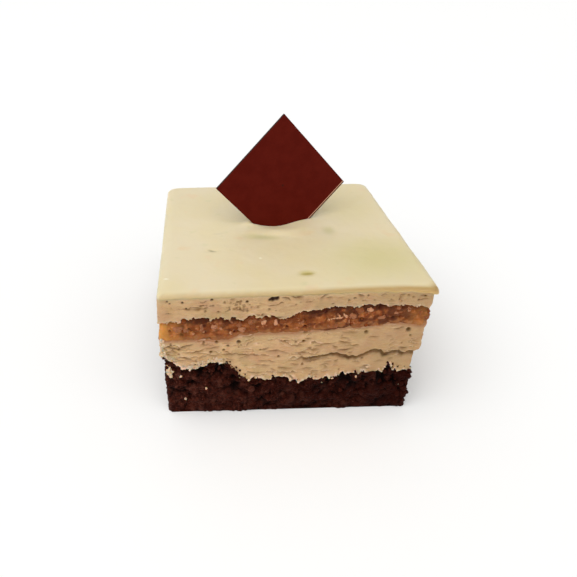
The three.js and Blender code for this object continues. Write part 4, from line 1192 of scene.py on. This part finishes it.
# ---- Studio -------------------------------------------------------------------------------------
# A plain pale floor under a pale sky, a wide soft light from the front left, weaker ones from the front
# right and from behind on the left, and the camera above the cake and a little left of its middle.

CAMERA_PLACE = (-19.495, -141.662, 110.751)
CAMERA_YAW, CAMERA_PITCH, CAMERA_ROLL = (math.radians(angle) for angle in (4.7743, 32.8338, 0.9636))
CAMERA_LENS = 32.7507
CAMERA_SHIFT = 0.05807
CAMERA_NEAR = 5.0
FLOOR_SIZE = 6000.0
# Each light as its azimuth, elevation, spread and strength.
LIGHTS = {"key": (-38, 55, 80, 2.12), "fill": (40, 30, 60, 0.38), "back": (215, 40, 80, 0.27)}
SKY_LIGHT = 0.415

floor_mesh = bpy.data.meshes.new("floor")
corners = [(-1, -1), (1, -1), (1, 1), (-1, 1)]
edge = FLOOR_SIZE / 2 * MM
floor_mesh.from_pydata([(edge * x, edge * y, 0) for x, y in corners], [], [range(len(corners))])
floor = bpy.data.objects.new("floor", floor_mesh)
bpy.context.scene.collection.objects.link(floor)
paper, tree, shader = new_material("pale_paper", 0.9, Base_Color=(0.95, 0.95, 0.94, 1))
floor_mesh.materials.append(paper)


def soft_sun(name, azimuth, elevation, spread, strength):
    """Even light from a wide patch of sky. Azimuth 0 is behind the camera, 90 on its right."""
    data = bpy.data.lights.new(name, "SUN")
    data.angle = math.radians(spread)
    data.energy = strength
    light = bpy.data.objects.new(name, data)
    light.rotation_euler = (math.radians(90 - elevation), 0, math.radians(azimuth))
    bpy.context.scene.collection.objects.link(light)


for name, light in LIGHTS.items():
    soft_sun(name, *light)

world = bpy.data.worlds.new("studio")
world.use_nodes = True
seen = add(world.node_tree, "ShaderNodeLightPath").outputs["Is Camera Ray"]
strength = add(world.node_tree, "ShaderNodeMapRange", {"Value": seen, "To Min": SKY_LIGHT, "To Max": 1.0})
sky = world.node_tree.nodes["Background"]
sky.inputs["Color"].default_value = (1, 1, 1, 1)
world.node_tree.links.new(strength.outputs["Result"], sky.inputs["Strength"])
bpy.context.scene.world = world
bpy.context.scene.view_settings.view_transform = "Standard"

camera_data = bpy.data.cameras.new("camera")
camera_data.lens = CAMERA_LENS
camera_data.shift_x = CAMERA_SHIFT
camera_data.clip_start = CAMERA_NEAR * MM
camera = bpy.data.objects.new("camera", camera_data)
turned = (Matrix.Rotation(-CAMERA_YAW, 4, "Z") @ Matrix.Rotation(math.pi / 2 - CAMERA_PITCH, 4, "X")
          @ Matrix.Rotation(CAMERA_ROLL, 4, "Z"))
camera.matrix_world = Matrix.Translation([c * MM for c in CAMERA_PLACE]) @ turned
bpy.context.scene.collection.objects.link(camera)
bpy.context.scene.camera = camera
